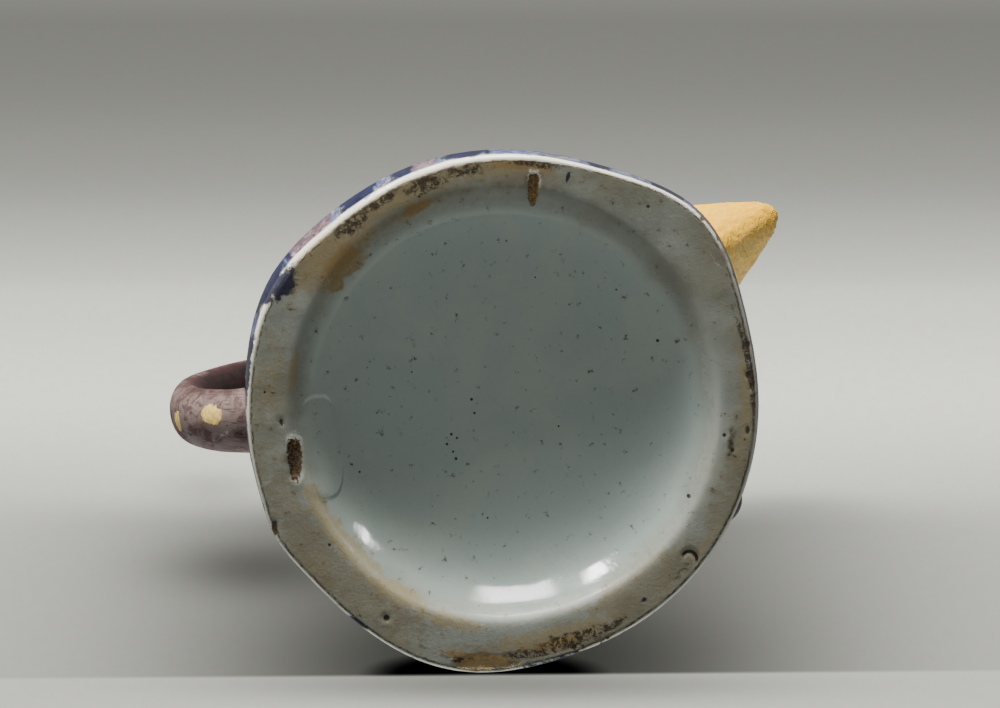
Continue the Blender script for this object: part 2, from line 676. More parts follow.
def makeHead():
    # skull, jaw, brow, nose and its tip, lips and chin
    headBall((0, 0, 0), (17.5, 19.0, 21.0), "skin")
    headBall((0, -6.6, -10.5), (13.2, 11.6, 11.0), "skin")
    headBall((0, -13.8, 7.2), (12.0, 4.6, 4.0), "skin")
    headBall((0, -18.0, 2.6), (2.6, 3.4, 6.6), "skin", lean=-0.30)
    for centre, radii in (((0, -20.8, -2.6), (3.1, 3.2, 2.7)), ((0, -17.3, -9.2), (4.6, 2.3, 1.3)),
                          ((0, -16.9, -11.7), (3.8, 2.4, 1.5)), ((0, -14.6, -16.8), (5.2, 4.2, 4.2))):
        headBall(centre, radii, "skin")
    for side in leftAndRight:
        # cheek, eyeball and nostril
        for (x, y, z), radii in (((7.4, -9.8, -5.0), (7.4, 7.2, 7.8)), ((6.4, -15.6, 3.0), (3.2, 2.5, 2.2)),
                                 ((2.6, -19.0, -3.2), (1.9, 2.2, 1.7))):
            headBall((side * x, y, z), radii, "skin")
        # eyelids over and under the eyeball, and the brow ridge
        headLimb([(side * 3.4, -17.2, 3.4), (side * 6.4, -18.3, 5.0), (side * 9.6, -15.9, 3.5)],
                 [0.5, 0.75, 0.5], "skin", 12)
        headLimb([(side * 3.6, -17.0, 2.4), (side * 6.4, -17.8, 1.0), (side * 9.3, -15.9, 2.2)],
                 [0.4, 0.55, 0.4], "skin", 12)


def makeHair():
    headBall((0, 7.0, -6.0), (17.5, 13.5, 19.0), "hair")
    strands = []
    rows = ((11, 18.6, 9.0, 33.0, 1.0), (10, 18.9, 6.0, 35.0, 0.72))
    for ring, (count, radius, top, fall, thick) in enumerate(rows):
        for lock in range(count):
            way = math.radians(62.0 + 236.0 * (lock + 0.5 * ring) / 10.0)
            strand = []
            for step, thickness in enumerate((2.6, 3.8, 4.4, 4.4, 3.9, 2.2, 0.9)):
                drop = step / 6.0 * 1.04
                sway = math.radians(8.0) * math.sin(2.4 * math.pi * drop + lock * 0.6 + ring * 1.7)
                reach = radius + 2.6 * math.sin(math.pi * min(drop, 1.0))
                place = headPlace(-math.sin(way + sway) * reach * 0.98,
                                  -math.cos(way + sway) * reach * 0.95 + 1.5, top - fall * drop)
                strand.append((place, thickness * thick * mm))
            strands.append(strand)
    growTree(lockTree(), splinesFrom(strands), {"Grooves": 7, "Groove Depth": 0.16, "Corners": 42}, "hair")


hat = dict(frontReach=0.0835, backReach=0.0610, bandRadius=0.0205, cornerHeight=0.0185, cockedHeight=0.0325,
           thickness=0.0042, cornerPower=8.6, middle=(2.0, -20.0, 107.0))


def hatReach(way):
    corners = [Vector((math.cos(math.radians(t)), math.sin(math.radians(t)))) * reach
               for t, reach in ((0.0, hat["frontReach"]), (120.0, hat["backReach"]),
                                (240.0, hat["backReach"]))]
    total = 0.0
    for first, second in zip(corners, corners[1:] + corners[:1]):
        along = (second - first).normalized()
        outward = Vector((along.y, -along.x))
        closeness = outward.dot(Vector((math.cos(way), math.sin(way)))) / outward.dot(first)
        if closeness > 0.0:
            total += closeness ** hat["cornerPower"]
    return total ** (-1.0 / hat["cornerPower"])


def makeHat():
    corners, levels = 300, 30
    middle = at(*hat["middle"])
    form = bmesh.new()
    loops = []
    for level in range(levels + 1):
        share, loop = level / levels, []
        for corner in range(corners):
            way = math.tau * corner / corners
            side = 0.5 - 0.5 * math.cos(3.0 * way)
            edgeHeight = hat["cornerHeight"] + (hat["cockedHeight"] - hat["cornerHeight"]) * side
            radius = hat["bandRadius"] + (hatReach(way) - hat["bandRadius"]) * share ** (1.0 - 0.35 * side)
            height = edgeHeight * share ** (1.30 + 0.15 * side)
            heading = -way - head["turn"]
            reach = Vector((math.sin(heading) * radius, -math.cos(heading) * radius, height))
            loop.append(form.verts.new(middle + reach))
        loops.append(loop)
    for low, high in zip(loops, loops[1:]):
        for corner in range(corners):
            form.faces.new((low[corner], low[(corner + 1) % corners], high[(corner + 1) % corners],
                            high[corner]))
    bmesh.ops.recalc_face_normals(form, faces=form.faces)
    mesh = bpy.data.meshes.new("hat sheet")
    form.to_mesh(mesh)
    form.free()
    sheet = plainObject("hat sheet", mesh)
    thick = sheet.modifiers.new("thickness", "SOLIDIFY")
    thick.thickness, thick.offset, thick.use_even_offset = hat["thickness"], 0.0, True
    addForm(formFrom(finishedMesh(sheet)), "hat")
    bpy.data.objects.remove(sheet, do_unlink=True)
    ball(middle + Vector((0, 0.001, -0.002)),
         (hat["bandRadius"] + 0.0005, hat["bandRadius"] + 0.0005, 0.0055), "hat")


handle = dict(width=0.0134, thickness=0.0092, reach=0.0761, rootHeight=0.0060, lean=-1.2,
              line=((0.60, 0.0), (0.83, 0.045), (0.985, 0.20), (1.045, 0.42), (1.00, 0.62), (0.87, 0.80),
                    (0.64, 0.94)),
              swell=(1.25, 1.04, 1.0, 0.98, 0.94, 0.90, 0.90, 1.05))


def handleLine():
    top = at(1.5, 12.0, 82.0)
    rise, low = top.z - plinth["height"], plinth["height"] + handle["rootHeight"]
    back = handle["reach"] - handle["thickness"] / 2.0
    bow = [Vector((handle["lean"] * mm, back * reach, low + rise * share)) for reach, share in handle["line"]]
    return bow + [Vector((0.0, top.y, top.z + 0.002))]


def makeHandle():
    radii = [handle["thickness"] / 2.0 * swell / mm for swell in handle["swell"]]
    limb(handleLine(), radii, "handle", widen=handle["width"] / handle["thickness"], around=48, steps=14)


for make in (makePlinth, makeBarrel, makeTorso, makeCoatSkirts, makeLegs, makeArms, makeVessels, makeDress,
             makeHead, makeHair, makeHat, makeHandle):
    make()
print("clay lumps:", len(clay))


# Fusing, hollowing and the foot

fusing = dict(grain=0.0008, soften=3, outerTriangles=112000)


def countTriangles(mesh):
    return sum(len(p.vertices) - 2 for p in mesh.polygons)


def fusedClay():
    vertices, faces = [], []
    for lumpVertices, lumpFaces, _ in clay:
        start = len(vertices)
        vertices += lumpVertices
        faces += [tuple(start + v for v in f) for f in lumpFaces]
    whole = plainObject("figuralJug", meshFrom("figuralJug", vertices, faces))
    fuse = whole.modifiers.new("fuse", "REMESH")
    fuse.mode, fuse.voxel_size = "VOXEL", fusing["grain"]
    soften = whole.modifiers.new("soften", "SMOOTH")
    soften.factor, soften.iterations = 0.5, fusing["soften"]
    bpy.context.view_layer.update()
    raw = whole.evaluated_get(bpy.context.evaluated_depsgraph_get())
    triangles = countTriangles(raw.data)
    thin = whole.modifiers.new("thin", "DECIMATE")
    thin.ratio = min(1.0, fusing["outerTriangles"] / triangles)
    mesh = finishedMesh(whole)
    whole.modifiers.clear()
    whole.data = mesh
    print("fused:", triangles, "->", countTriangles(mesh))
    return whole


hollow = dict(wall=0.0050, neckBore=0.0105, throwing=0.00025)


def hollowMesh():
    # The inside, with the ridges that throwing leaves
    floor, lip, bore = foot["depth"] + hollow["wall"], at(*hat["middle"]), hollow["neckBore"]
    inside, back = barrel["middleRadius"] - hollow["wall"], seat.y
    middle = plinth["height"] + barrel["height"] * 0.5
    rings = [((0, back, floor), inside * 0.80, inside * 0.80),
             ((0, back, floor + 0.002), inside * 0.90, inside * 0.90),
             ((0, back, floor + 0.009), inside * 0.965, inside * 0.965), ((0, back, middle), inside, inside),
             ((0, back, plinth["height"] + barrel["height"] * 0.9), inside * 0.94, inside * 0.88)]
    for height, y, across, deep in ((18, -2, 30.0, 26.0), (34, -2, 28.0, 23.5), (47, 0, 26.0, 19.0),
                                    (57, 0, 22.0, 14.5)):
        rings.append((tuple(at(0, y, height)), across * mm, deep * mm))
    for x, y, z, grow in ((0.5, -4, 67, 1.12), (1.0, -9, 74, 0.96), (1.5, -13, 84, 1.0), (1.5, -15, 94, 1.06),
                          (1.8, -17, 102, 1.28)):
        rings.append((tuple(at(x, y, z)), bore * grow, bore * grow))
    for rise, grow in ((0.001, 0.80), (0.008, 0.98), (0.016, 1.05)):
        rings.append((tuple(lip + Vector((0, 0, rise))), hat["bandRadius"] * grow, hat["bandRadius"] * grow))
    ridges = lambda angle, z: hollow["throwing"] * math.sin(z / 0.0042 * math.tau + angle)
    vertices, faces = loft(smoothRings(rings, 6), corners=84, ripple=ridges)
    return meshFrom("hollow", vertices, faces)


# The foot, in millimetres from its middle: u runs to the photo's right and v to its top
foot = dict(depth=0.0113, domeBlend=2.2, rimInner=44.0, innerBulges=((60.0, 55.0, 1.2), (214.0, 26.0, -1.0)),
            domePower=6.6, roll=(0.35, 1.0, 121.0, 43.0), ringWave=0.10,
            slotScar=(6.4, 45.4, 1.15, 3.2, -4.0, 0.75), pitScar=(-42.9, -10.6, 1.45, 4.4, 4.0, 1.0),
            crescentScar=(38.9, -31.0, 1.6),
            chips=((-3.6, -52.9, 6.4, 1.7, 0.7), (50.7, 13.4, 0.45, 1.1, 0.3), (50.9, 7.2, 0.60, 0.8, 0.3),
                   (51.8, 5.2, 0.5, 1.7, 0.3), (50.9, -4.2, 0.4, 0.9, 0.3), (15.0, -49.6, 0.7, 0.7, 0.35),
                   (22.0, -47.6, 0.5, 0.4, 0.3), (-47.2, -24.5, 0.7, 1.7, 0.35), (41.6, 39.5, 0.9, 0.7, 0.35),
                   (44.8, 35.9, 0.7, 1.0, 0.35), (-45.6, -2.6, 0.55, 0.95, 0.3), (47.9, 28.5, 0.4, 1.2, 0.3)),
            pinholes=((-24.0, -43.4, 0.62), (38.9, -18.2, 0.42), (30.0, 42.0, 0.36), (32.7, 13.8, 0.34),
                      (46.0, -5.2, 0.40), (47.7, -8.3, 0.42), (-6.4, 1.2, 0.30), (-5.8, -1.7, 0.26),
                      (-10.7, -6.2, 0.30), (-9.5, -7.0, 0.24), (-11.6, -8.3, 0.28), (-10.3, -9.9, 0.24),
                      (-9.7, -11.4, 0.32), (-35.8, -28.1, 0.32), (-49.0, 3.7, 0.26), (-30.5, 37.0, 0.24),
                      (-17.0, 44.0, 0.26)),
            tongue=(-37.6, -8.3, 3.9, 10.8, 0.42), around=420, rings=92)


def ramp(value, low, high):
    t = min(1.0, max(0.0, (value - low) / (high - low)))
    return t * t * (3.0 - 2.0 * t)


def rollWidth(x, y):
    # The glaze's outer roll is narrow, and broad round one way of the foot
    least, most, middle, spread = foot["roll"]
    way = math.degrees(math.atan2(x * photoUp.x + y * photoUp.y, x * photoRight.x + y * photoRight.y))
    off = ((way - middle + 180.0) % 360.0 - 180.0) / spread
    torn = 1.0 + 0.5 * noise.noise(Vector((way * 0.09, 0.0, 5.0)))
    return least + (most - least) * math.exp(-off ** 4) * torn


def outsideRadius(x, y):
    return (plinth["footRadius"] - 0.0002 + outlineRise(Vector((x, y, 0)))
            - outlineRise(Vector((x, y, 0)), "tuck")) / mm


def lump(x, y, z):
    return noise.noise(Vector((x, y, z)))


def footHeight(x, y):
    # How far the underside stands up into the jug at a place on it, all in millimetres
    u, v = x * photoRight.x + y * photoRight.y, x * photoUp.x + y * photoUp.y
    reach, way = math.hypot(x, y), math.atan2(v, u)
    edge = outsideRadius(x, y)
    inner = foot["rimInner"] + 0.3 * math.sin(3 * way + 2.0)
    for turn, spread, rise in foot["innerBulges"]:
        off = (math.degrees(way) - turn + 180.0) % 360.0 - 180.0
        inner += rise * math.exp(-(off / spread) ** 2)
    dome = foot["depth"] / mm * (1.0 - (reach / inner) ** foot["domePower"]) if reach < inner * 1.3 else -12.0
    height = 0.5 * (dome + math.sqrt(dome * dome + foot["domeBlend"])) - 0.025
    ripple = lump(u * 0.07, v * 0.07, 3.1) * 0.20 + lump(u * 0.25, v * 0.25, 7.7) * 0.05
    height += ripple * ramp(dome, 0.5, 4.0)
    height += foot["ringWave"] * (0.6 + lump(u * 0.16, v * 0.16, 1.0)) * ramp(reach, inner - 2, inner + 2)
    # a thick run of glaze inside the recess
    tu, tv, wide, tall, thick = foot["tongue"]
    lean = (u - tu) + 0.10 * (v - tv) + 0.9 * lump(v * 0.18, 2.0, 0.0)
    blunt = (abs(lean / wide) ** 3 + abs((v - tv) / tall) ** 3) ** (1 / 3)
    height -= thick * (1.0 - ramp(blunt, 0.84, 1.03))
    # the rolled outer edge
    roll = rollWidth(x, y)
    t = min(1.0, max(0.0, (reach - (edge - roll)) / (roll + 0.5)))
    height += (0.6 + 0.7 * roll) * (1.0 - math.sqrt(1.0 - t * t))
    # scars of the kiln's stilts
    for su, sv, half, length, lean, deep in (foot["slotScar"], foot["pitScar"]):
        c, s = math.cos(math.radians(lean)), math.sin(math.radians(lean))
        du, dv = (u - su) * c + (v - sv) * s, -(u - su) * s + (v - sv) * c
        ragged = 0.16 * lump(u * 0.9, v * 0.9, 4.0)
        off = math.hypot(du / half, dv / length if abs(dv) > 0 else 0.0) + ragged
        box = max(abs(du) / half, abs(dv) / length) + ragged
        shape = 0.5 * (off + box)
        height += deep * (1.0 - ramp(shape, 0.62, 1.02)) - 0.10 * math.exp(-((shape - 1.14) / 0.16) ** 2)
    cu, cv, cr = foot["crescentScar"]
    ring = math.hypot(u - cu, v - cv)
    if ring < 4:
        bow = math.exp(-((ring - cr) / 0.40) ** 2) * ramp((v - cv) + 0.4 * (u - cu), -0.6, 0.8)
        height += 0.45 * bow - 0.10 * math.exp(-((ring - cr - 0.7) / 0.35) ** 2) * ramp((v - cv), -0.4, 0.8)
    for hu, hv, wide, tall, deep in foot["chips"]:
        du, dv = u - hu, v - hv
        if abs(du) < 12 and abs(dv) < 12:
            jag = 0.32 * lump(u * 0.55, v * 0.55, hu) + 0.18 * lump(u * 1.7, v * 1.7, hv)
            share = 1.0 - ramp(math.hypot(du / wide, dv / tall) + jag, 0.70, 1.0)
            height += deep * share * (0.8 + 0.4 * lump(u * 1.3, v * 1.3, 9.0))
    for hu, hv, radius in foot["pinholes"]:
        off = math.hypot(u - hu, v - hv)
        if off < 2.0:
            height += radius * 0.8 * math.exp(-((off / radius) ** 2))
            height -= 0.03 * math.exp(-(((off - radius * 1.9) / radius) ** 2))
    return max(height, 0.0)


def footMesh():
    # A closed block whose top is the underside's surface, in fine rings
    around, widest = foot["around"], 0.064
    reaches = [56.5 * (ring / foot["rings"]) ** 0.86 for ring in range(1, foot["rings"] + 1)]
    vertices, faces = [Vector((0, 0, footHeight(0.001, 0.0) * mm))], []
    for reach in reaches:
        for corner in range(around):
            edge = outsideRadius(*onCircle(corner, around, reach))
            # the outer rings gather towards the rolled edge
            follow = reach * (1.0 + (edge / 51.5 - 1.0) * ramp(reach, 20.0, 51.0))
            x, y = onCircle(corner, around, follow)
            vertices.append(Vector((x * mm, y * mm, footHeight(x, y) * mm)))
    for corner in range(around):
        faces.append((0, 1 + corner, 1 + (corner + 1) % around))
    for ring in range(len(reaches) - 1):
        a = 1 + ring * around
        for corner in range(around):
            after = (corner + 1) % around
            faces.append((a + corner, a + around + corner, a + around + after, a + after))
    rim = len(vertices)
    for height in (0.0015, -0.012):
        vertices += [Vector((*onCircle(corner, around, widest), height)) for corner in range(around)]
    last = rim - around
    for corner in range(around):
        after = (corner + 1) % around
        faces.append((last + corner, rim + corner, rim + after, last + after))
        faces.append((rim + corner, rim + around + corner, rim + around + after, rim + after))
    faces.append(tuple(rim + around + corner for corner in range(around - 1, -1, -1)))
    return meshFrom("foot", vertices, faces)


def carve(target, mesh):
    cutter = plainObject("cutter", mesh)
    form = formFrom(mesh)
    bmesh.ops.recalc_face_normals(form, faces=form.faces)
    form.to_mesh(mesh)
    form.free()
    boolean = target.modifiers.new("carve", "BOOLEAN")
    boolean.operation, boolean.solver, boolean.object = "DIFFERENCE", "EXACT", cutter
    result = finishedMesh(target)
    target.modifiers.clear()
    target.data = result
    bpy.data.objects.remove(cutter, do_unlink=True)


def dropIslands(target):
    # Keeps the one skin of the jug and drops specks that the fusing left sealed inside it
    form = formFrom(target.data)
    seen, islands = set(), []
    for start in form.verts:
        if start.index in seen:
            continue
        seen.add(start.index)
        stack, island = [start], []
        while stack:
            vertex = stack.pop()
            island.append(vertex)
            for edge in vertex.link_edges:
                other = edge.other_vert(vertex)
                if other.index not in seen:
                    seen.add(other.index)
                    stack.append(other)
        islands.append(island)
    islands.sort(key=len)
    for island in islands[:-1]:
        bmesh.ops.delete(form, geom=island, context="VERTS")
    form.to_mesh(target.data)
    form.free()


jug = fusedClay()
bore = hollowMesh()
boreTree = BVHTree.FromPolygons([v.co.copy() for v in bore.vertices],
                                [tuple(p.vertices) for p in bore.polygons])
carve(jug, bore)
carve(jug, footMesh())
dropIslands(jug)
print("jug carved:", countTriangles(jug.data), "triangles")


# Painted zones, kept on the mesh as attributes

def paintZones():
    # Every point of the skin takes the zone of the nearest lump; points deep inside the wall are left bare
    vertices, faces, owners = [], [], []
    number = {name: n for n, name in enumerate(zoneNames)}
    for lumpVertices, lumpFaces, zone in clay:
        start = len(vertices)
        vertices += lumpVertices
        faces += [[start + v for v in face] for face in lumpFaces]
        owners += [number[zone]] * len(lumpFaces)
    tree = BVHTree.FromPolygons(vertices, faces)
    mesh = jug.data
    count = len(mesh.vertices)
    zones = np.full(count, -1)
    for vertex in mesh.vertices:
        face, distance = tree.find_nearest(vertex.co)[2:]
        if distance < 0.0011:
            zones[vertex.index] = owners[face]
    places = np.zeros(count * 3)
    mesh.vertices.foreach_get("co", places)
    places = places.reshape(-1, 3)
    # the waistcoat shows between the coat's front edges
    rise = (places[:, 2] - seat.z) / mm
    edge = np.interp(rise, (12, 30, 48, 64), (17, 14, 12, 9))
    front = (zones == number["coat"]) & (np.abs(places[:, 0] / mm) < edge)
    front &= (places[:, 1] < seat.y - 0.010) & (rise > -8) & (rise < 72)
    zones[front] = number["waistcoat"]
    behindCoat = (zones == number["barrel"]) & (places[:, 1] > seat.y) & (rise > -6)
    zones[behindCoat] = number["coat"]
    under = (places[:, 2] < 0.0012) | ((places[:, 2] < 0.0140)
                                       & (np.hypot(places[:, 0], places[:, 1]) < 0.0450))
    zones[under] = number["plinth"]
    # the throat is painted with the hat down to a little below its lip; the rest of the hollow is bare
    lip = at(*hat["middle"]).z
    throat = np.array([boreTree.find_nearest(vertex.co)[3] < 0.0005 for vertex in mesh.vertices])
    zones[throat] = np.where(places[throat, 2] > lip - 0.012, number["hat"], -1)
    throat &= places[:, 2] < lip - 0.001
    edges = np.zeros(len(mesh.edges) * 2, dtype=np.int64)
    mesh.edges.foreach_get("vertices", edges)
    ends = edges.reshape(-1, 2)
    degree = np.bincount(edges, minlength=count).astype(float)

    def softened(mask, times=2):
        value = mask.astype(float)
        for _ in range(times):
            near = np.bincount(ends[:, 0], weights=value[ends[:, 1]], minlength=count)
            near += np.bincount(ends[:, 1], weights=value[ends[:, 0]], minlength=count)
            value = 0.4 * value + 0.6 * near / np.maximum(degree, 1)
        return value

    def keep(name, values):
        layer = mesh.attributes.new(name, "FLOAT", "POINT")
        layer.data.foreach_set("value", values.astype(np.float32))

    for name in zoneNames:
        keep(name, softened(zones == number[name]))
    keep("throat", softened(throat))
    # how far a point of the foot lies inside the glaze's outer roll, in millimetres
    reach = np.hypot(places[:, 0], places[:, 1]) / mm
    edgeIn = np.array([outsideRadius(x, y) - rollWidth(x, y) for x, y in places[:, :2]]) - reach
    keep("edgeDistance", edgeIn)
    # way along the handle and across it, in millimetres
    knots = handleLine()
    line = [p for p, r in alongPoints(knots, [0] * len(knots), 14)]
    lengths = [0.0]
    for a, b in zip(line, line[1:]):
        lengths.append(lengths[-1] + (b - a).length)
    along, outward = np.zeros(count), np.zeros(count)
    stations = np.array([tuple(p) for p in line])
    for index in np.where(zones == number["handle"])[0]:
        nearest = int(np.argmin(((stations - places[index]) ** 2).sum(axis=1)))
        low, high = max(nearest - 1, 0), min(nearest + 1, len(line) - 1)
        ahead = (line[high] - line[low]).normalized()
        offset = Vector(places[index]) - line[nearest]
        along[index] = (lengths[nearest] + offset.dot(ahead)) / mm
        outward[index] = offset.dot(Vector((0.0, ahead.z, -ahead.y))) / mm
    keep("handleWay", along)
    keep("handleOut", outward)
    return zones


zones = paintZones()
acrossJug = [v.co.x for v in jug.data.vertices]
shift = Vector(((cadLow.x + cadHigh.x - min(acrossJug) - max(acrossJug)) / 2.0,
                cadHigh.y - max(v.co.y for v in jug.data.vertices), 0.0))
jug.data.transform(Matrix.Translation(shift))
print("zones painted; the jug's axis stands at", [round(c / mm, 2) for c in shift])


# Materials

def tone(red, green, blue):
    # A colour written as on a painter's screen, 0 to 255, for a shader
    return tuple(c / 255 / 12.92 if c <= 10 else ((c / 255 + 0.055) / 1.055) ** 2.4
                 for c in (red, green, blue)) + (1.0,)


def jugPlaceGroup():
    # Object place to millimetres from the middle of the foot: on the underside's U and V, and round the jug
    tree, b, i, o = newTree("ShaderNodeTree", "jug place", [("Object", "v", None)],
                            [("Place", "v"), ("U", "f"), ("V", "f"), ("Reach", "f"), ("Way", "f"),
                             ("Height", "f")])
    place = b.vector("SCALE", b.vector("SUBTRACT", i["Object"], tuple(shift)), scale=1000.0)
    u, v = b.dot(place, photoRight), b.dot(place, photoUp)
    reach, way = b.math("SQRT", b.add(b.mul(u, u), b.mul(v, v))), b.math("DEGREES", b.math("ARCTAN2", v, u))
    for name, value in (("Place", place), ("U", u), ("V", v), ("Reach", reach), ("Way", way),
                        ("Height", b.split(place)[2])):
        b.feed(o[name], value)
    return tree


def arcGroup():
    # A soft patch on the foot round a way (degrees) and a reach, torn by noise
    tree, b, i, o = newTree("ShaderNodeTree", "rim patch", [
        ("Way", "f", 0), ("Reach", "f", 0), ("Tear", "f", 0.5), ("Middle Way", "f", 0),
        ("Spread Way", "f", 10), ("Middle Reach", "f", 48), ("Spread Reach", "f", 3),
        ("Amount", "f", 1)], [("Mask", "f")])
    off = b.sub(b.math("MODULO", b.add(b.sub(i["Way"], i["Middle Way"]), 900.0), 360.0), 180.0)
    off = b.div(off, i["Spread Way"])
    out = b.div(b.sub(i["Reach"], i["Middle Reach"]), i["Spread Reach"])
    fall = b.bell(off, out)
    b.feed(o["Mask"], b.step(b.mul(b.add(fall, b.swing(i["Tear"], 1.6)), i["Amount"]), 0.25, 0.75))
    return tree


def spotGroup():
    # An oval spot on the foot, ragged at its edge
    tree, b, i, o = newTree("ShaderNodeTree", "oval spot", [
        ("U", "f", 0), ("V", "f", 0), ("Tear", "f", 0.5), ("Middle U", "f", 0), ("Middle V", "f", 0),
        ("Half Wide", "f", 1), ("Half Tall", "f", 1), ("Lean", "f", 0), ("Square", "f", 2),
        ("Ragged", "f", 0.3), ("Soft", "f", 0.2)], [("Mask", "f"), ("Off", "f")])
    du, dv = b.sub(i["U"], i["Middle U"]), b.sub(i["V"], i["Middle V"])
    angle = b.math("RADIANS", i["Lean"])
    c, s = b.math("COSINE", angle), b.math("SINE", angle)
    across = b.div(b.add(b.mul(du, c), b.mul(dv, s)), i["Half Wide"])
    along = b.div(b.sub(b.mul(dv, c), b.mul(du, s)), i["Half Tall"])
    powers = [b.power(b.size(side), i["Square"]) for side in (across, along)]
    off = b.power(b.add(*powers), b.div(1.0, i["Square"]))
    off = b.add(off, b.swing(i["Tear"], i["Ragged"]))
    b.feed(o["Mask"], b.fade(off, b.sub(1.0, i["Soft"]), b.add(1.0, i["Soft"])))
    b.feed(o["Off"], off)
    return tree


def glazeGroup():
    # The tin glaze itself: cloudy colour, fine crawl and pinholes, and the height that they leave
    tree, b, i, o = newTree("ShaderNodeTree", "tin glaze", [
        ("Place", "v", None), ("Thin", "c", tone(214, 216, 204)), ("Thick", "c", tone(196, 212, 210)),
        ("Pinholes", "f", 0.5)], [("Color", "c"), ("Roughness", "f"), ("Height", "f"), ("Pits", "f")])
    cloud = b.noise(i["Place"], 0.055, 4.0, 0.6, 0.4)
    fine = b.noise(i["Place"], 0.9, 3.0)
    colour = b.mix(b.step(cloud, 0.35, 0.65), i["Thin"], i["Thick"])
    colour = b.mix(b.swing(fine, 0.25), colour, tone(150, 146, 130))
    holes = b.cells(i["Place"], 0.42)
    rarer = b.step(b.noise(i["Place"], 0.13, 2.0), 0.62, 0.72)
    pits = b.product(b.fade(holes, 0.045, 0.11), rarer, i["Pinholes"])
    colour = b.mix(pits, colour, tone(58, 46, 38))
    b.feed(o["Color"], colour)
    b.feed(o["Roughness"], b.step(fine, 0.3, 0.8, 0.06, 0.14))
    height = b.add(b.mul(cloud, 0.5), b.mul(b.noise(i["Place"], 0.35, 2.0), 0.12))
    b.feed(o["Height"], b.sub(height, b.mul(pits, 0.35)))
    b.feed(o["Pits"], pits)
    return tree


def brushGroup():
    # One pigment laid by brush: streaky and darker where it pools
    tree, b, i, o = newTree("ShaderNodeTree", "brushed pigment", [
        ("Place", "v", None), ("Ground", "c", None), ("Pale", "c", None), ("Deep", "c", None),
        ("Mask", "f", 1), ("Streak", "v", (1, 1, 0.25)), ("Cover", "f", 0.9)], [("Color", "c")])
    streaks = b.noise(b.vector("MULTIPLY", i["Place"], i["Streak"]), 0.9, 4.0, 0.6, 0.6)
    pools = b.noise(i["Place"], 0.22, 2.0)
    pigment = b.mix(b.step(b.add(b.mul(streaks, 0.6), b.mul(pools, 0.4)), 0.38, 0.62), i["Pale"], i["Deep"])
    b.feed(o["Color"], b.mix(b.product(i["Mask"], i["Cover"], b.step(streaks, 0.10, 0.40, 0.75, 1.0)),
                             i["Ground"], pigment))
    return tree


def spongeGroup():
    # Pigment dabbed with a sponge: open, clotted and veined
    tree, b, i, o = newTree("ShaderNodeTree", "sponged pigment", [
        ("Place", "v", None), ("Ground", "c", None), ("Pale", "c", None), ("Deep", "c", None),
        ("Mask", "f", 1), ("Grain", "f", 0.7), ("Open", "f", 0.5)], [("Color", "c")])
    clots = b.noise(i["Place"], i["Grain"], 6.0, 0.72, 0.8)
    veins = b.noise(i["Place"], b.mul(i["Grain"], 0.35), 3.0, 0.6, 1.6)
    level = b.add(b.mul(clots, 0.65), b.mul(veins, 0.35))
    pigment = b.mix(b.step(level, 0.44, 0.60), i["Deep"], i["Pale"])
    show = b.fade(level, b.add(0.40, b.mul(i["Open"], 0.16)), b.add(0.50, b.mul(i["Open"], 0.16)))
    b.feed(o["Color"], b.mix(b.mul(i["Mask"], b.math("MAXIMUM", show, b.sub(1.0, i["Open"]))), i["Ground"],
                             pigment))
    return tree


def wearGroup():
    # Glaze worn through to buff clay on sharp edges
    tree, b, i, o = newTree("ShaderNodeTree", "worn edges", [
        ("Place", "v", None), ("Color", "c", None), ("Edge", "f", 0), ("Clay", "c", tone(150, 112, 72))],
        [("Color", "c"), ("Bare", "f")])
    torn = b.noise(i["Place"], 1.1, 4.0, 0.7)
    bare = b.step(b.add(i["Edge"], b.swing(torn, 0.9)), 0.62, 0.86)
    b.feed(o["Color"], b.mix(bare, i["Color"], i["Clay"]))
    b.feed(o["Bare"], bare)
    return tree


groups = dict(place=jugPlaceGroup(), arc=arcGroup(), spot=spotGroup(), glaze=glazeGroup(), brush=brushGroup(),
              sponge=spongeGroup(), wear=wearGroup())
ink = dict(cobalt=tone(44, 52, 110), paleCobalt=tone(108, 124, 168), indigo=tone(26, 28, 62),
           manganese=tone(74, 48, 50), mauve=tone(136, 112, 122),
           yellow=tone(236, 190, 92), paleYellow=tone(243, 218, 150), ochre=tone(176, 128, 62))


def glazedMaterial(name, coat=0.35):
    material = bpy.data.materials.new(name)
    material.use_nodes = True
    b = Bench(material.node_tree)
    shader = material.node_tree.nodes["Principled BSDF"]
    b.fill(shader, IOR=1.5, Coat_Weight=coat, Coat_Roughness=0.05, Coat_IOR=1.5)
    place = b.group("place", Object=b.node("ShaderNodeTexCoord").outputs["Object"])
    return material, b, shader, place


def finishSurface(b, shader, colour, roughness, height, strength=0.25, distance=0.0004):
    bump = b.made("ShaderNodeBump", Strength=strength, Distance=distance, Height=height)
    b.fill(shader, Normal=bump["Normal"], Base_Color=colour, Roughness=roughness)


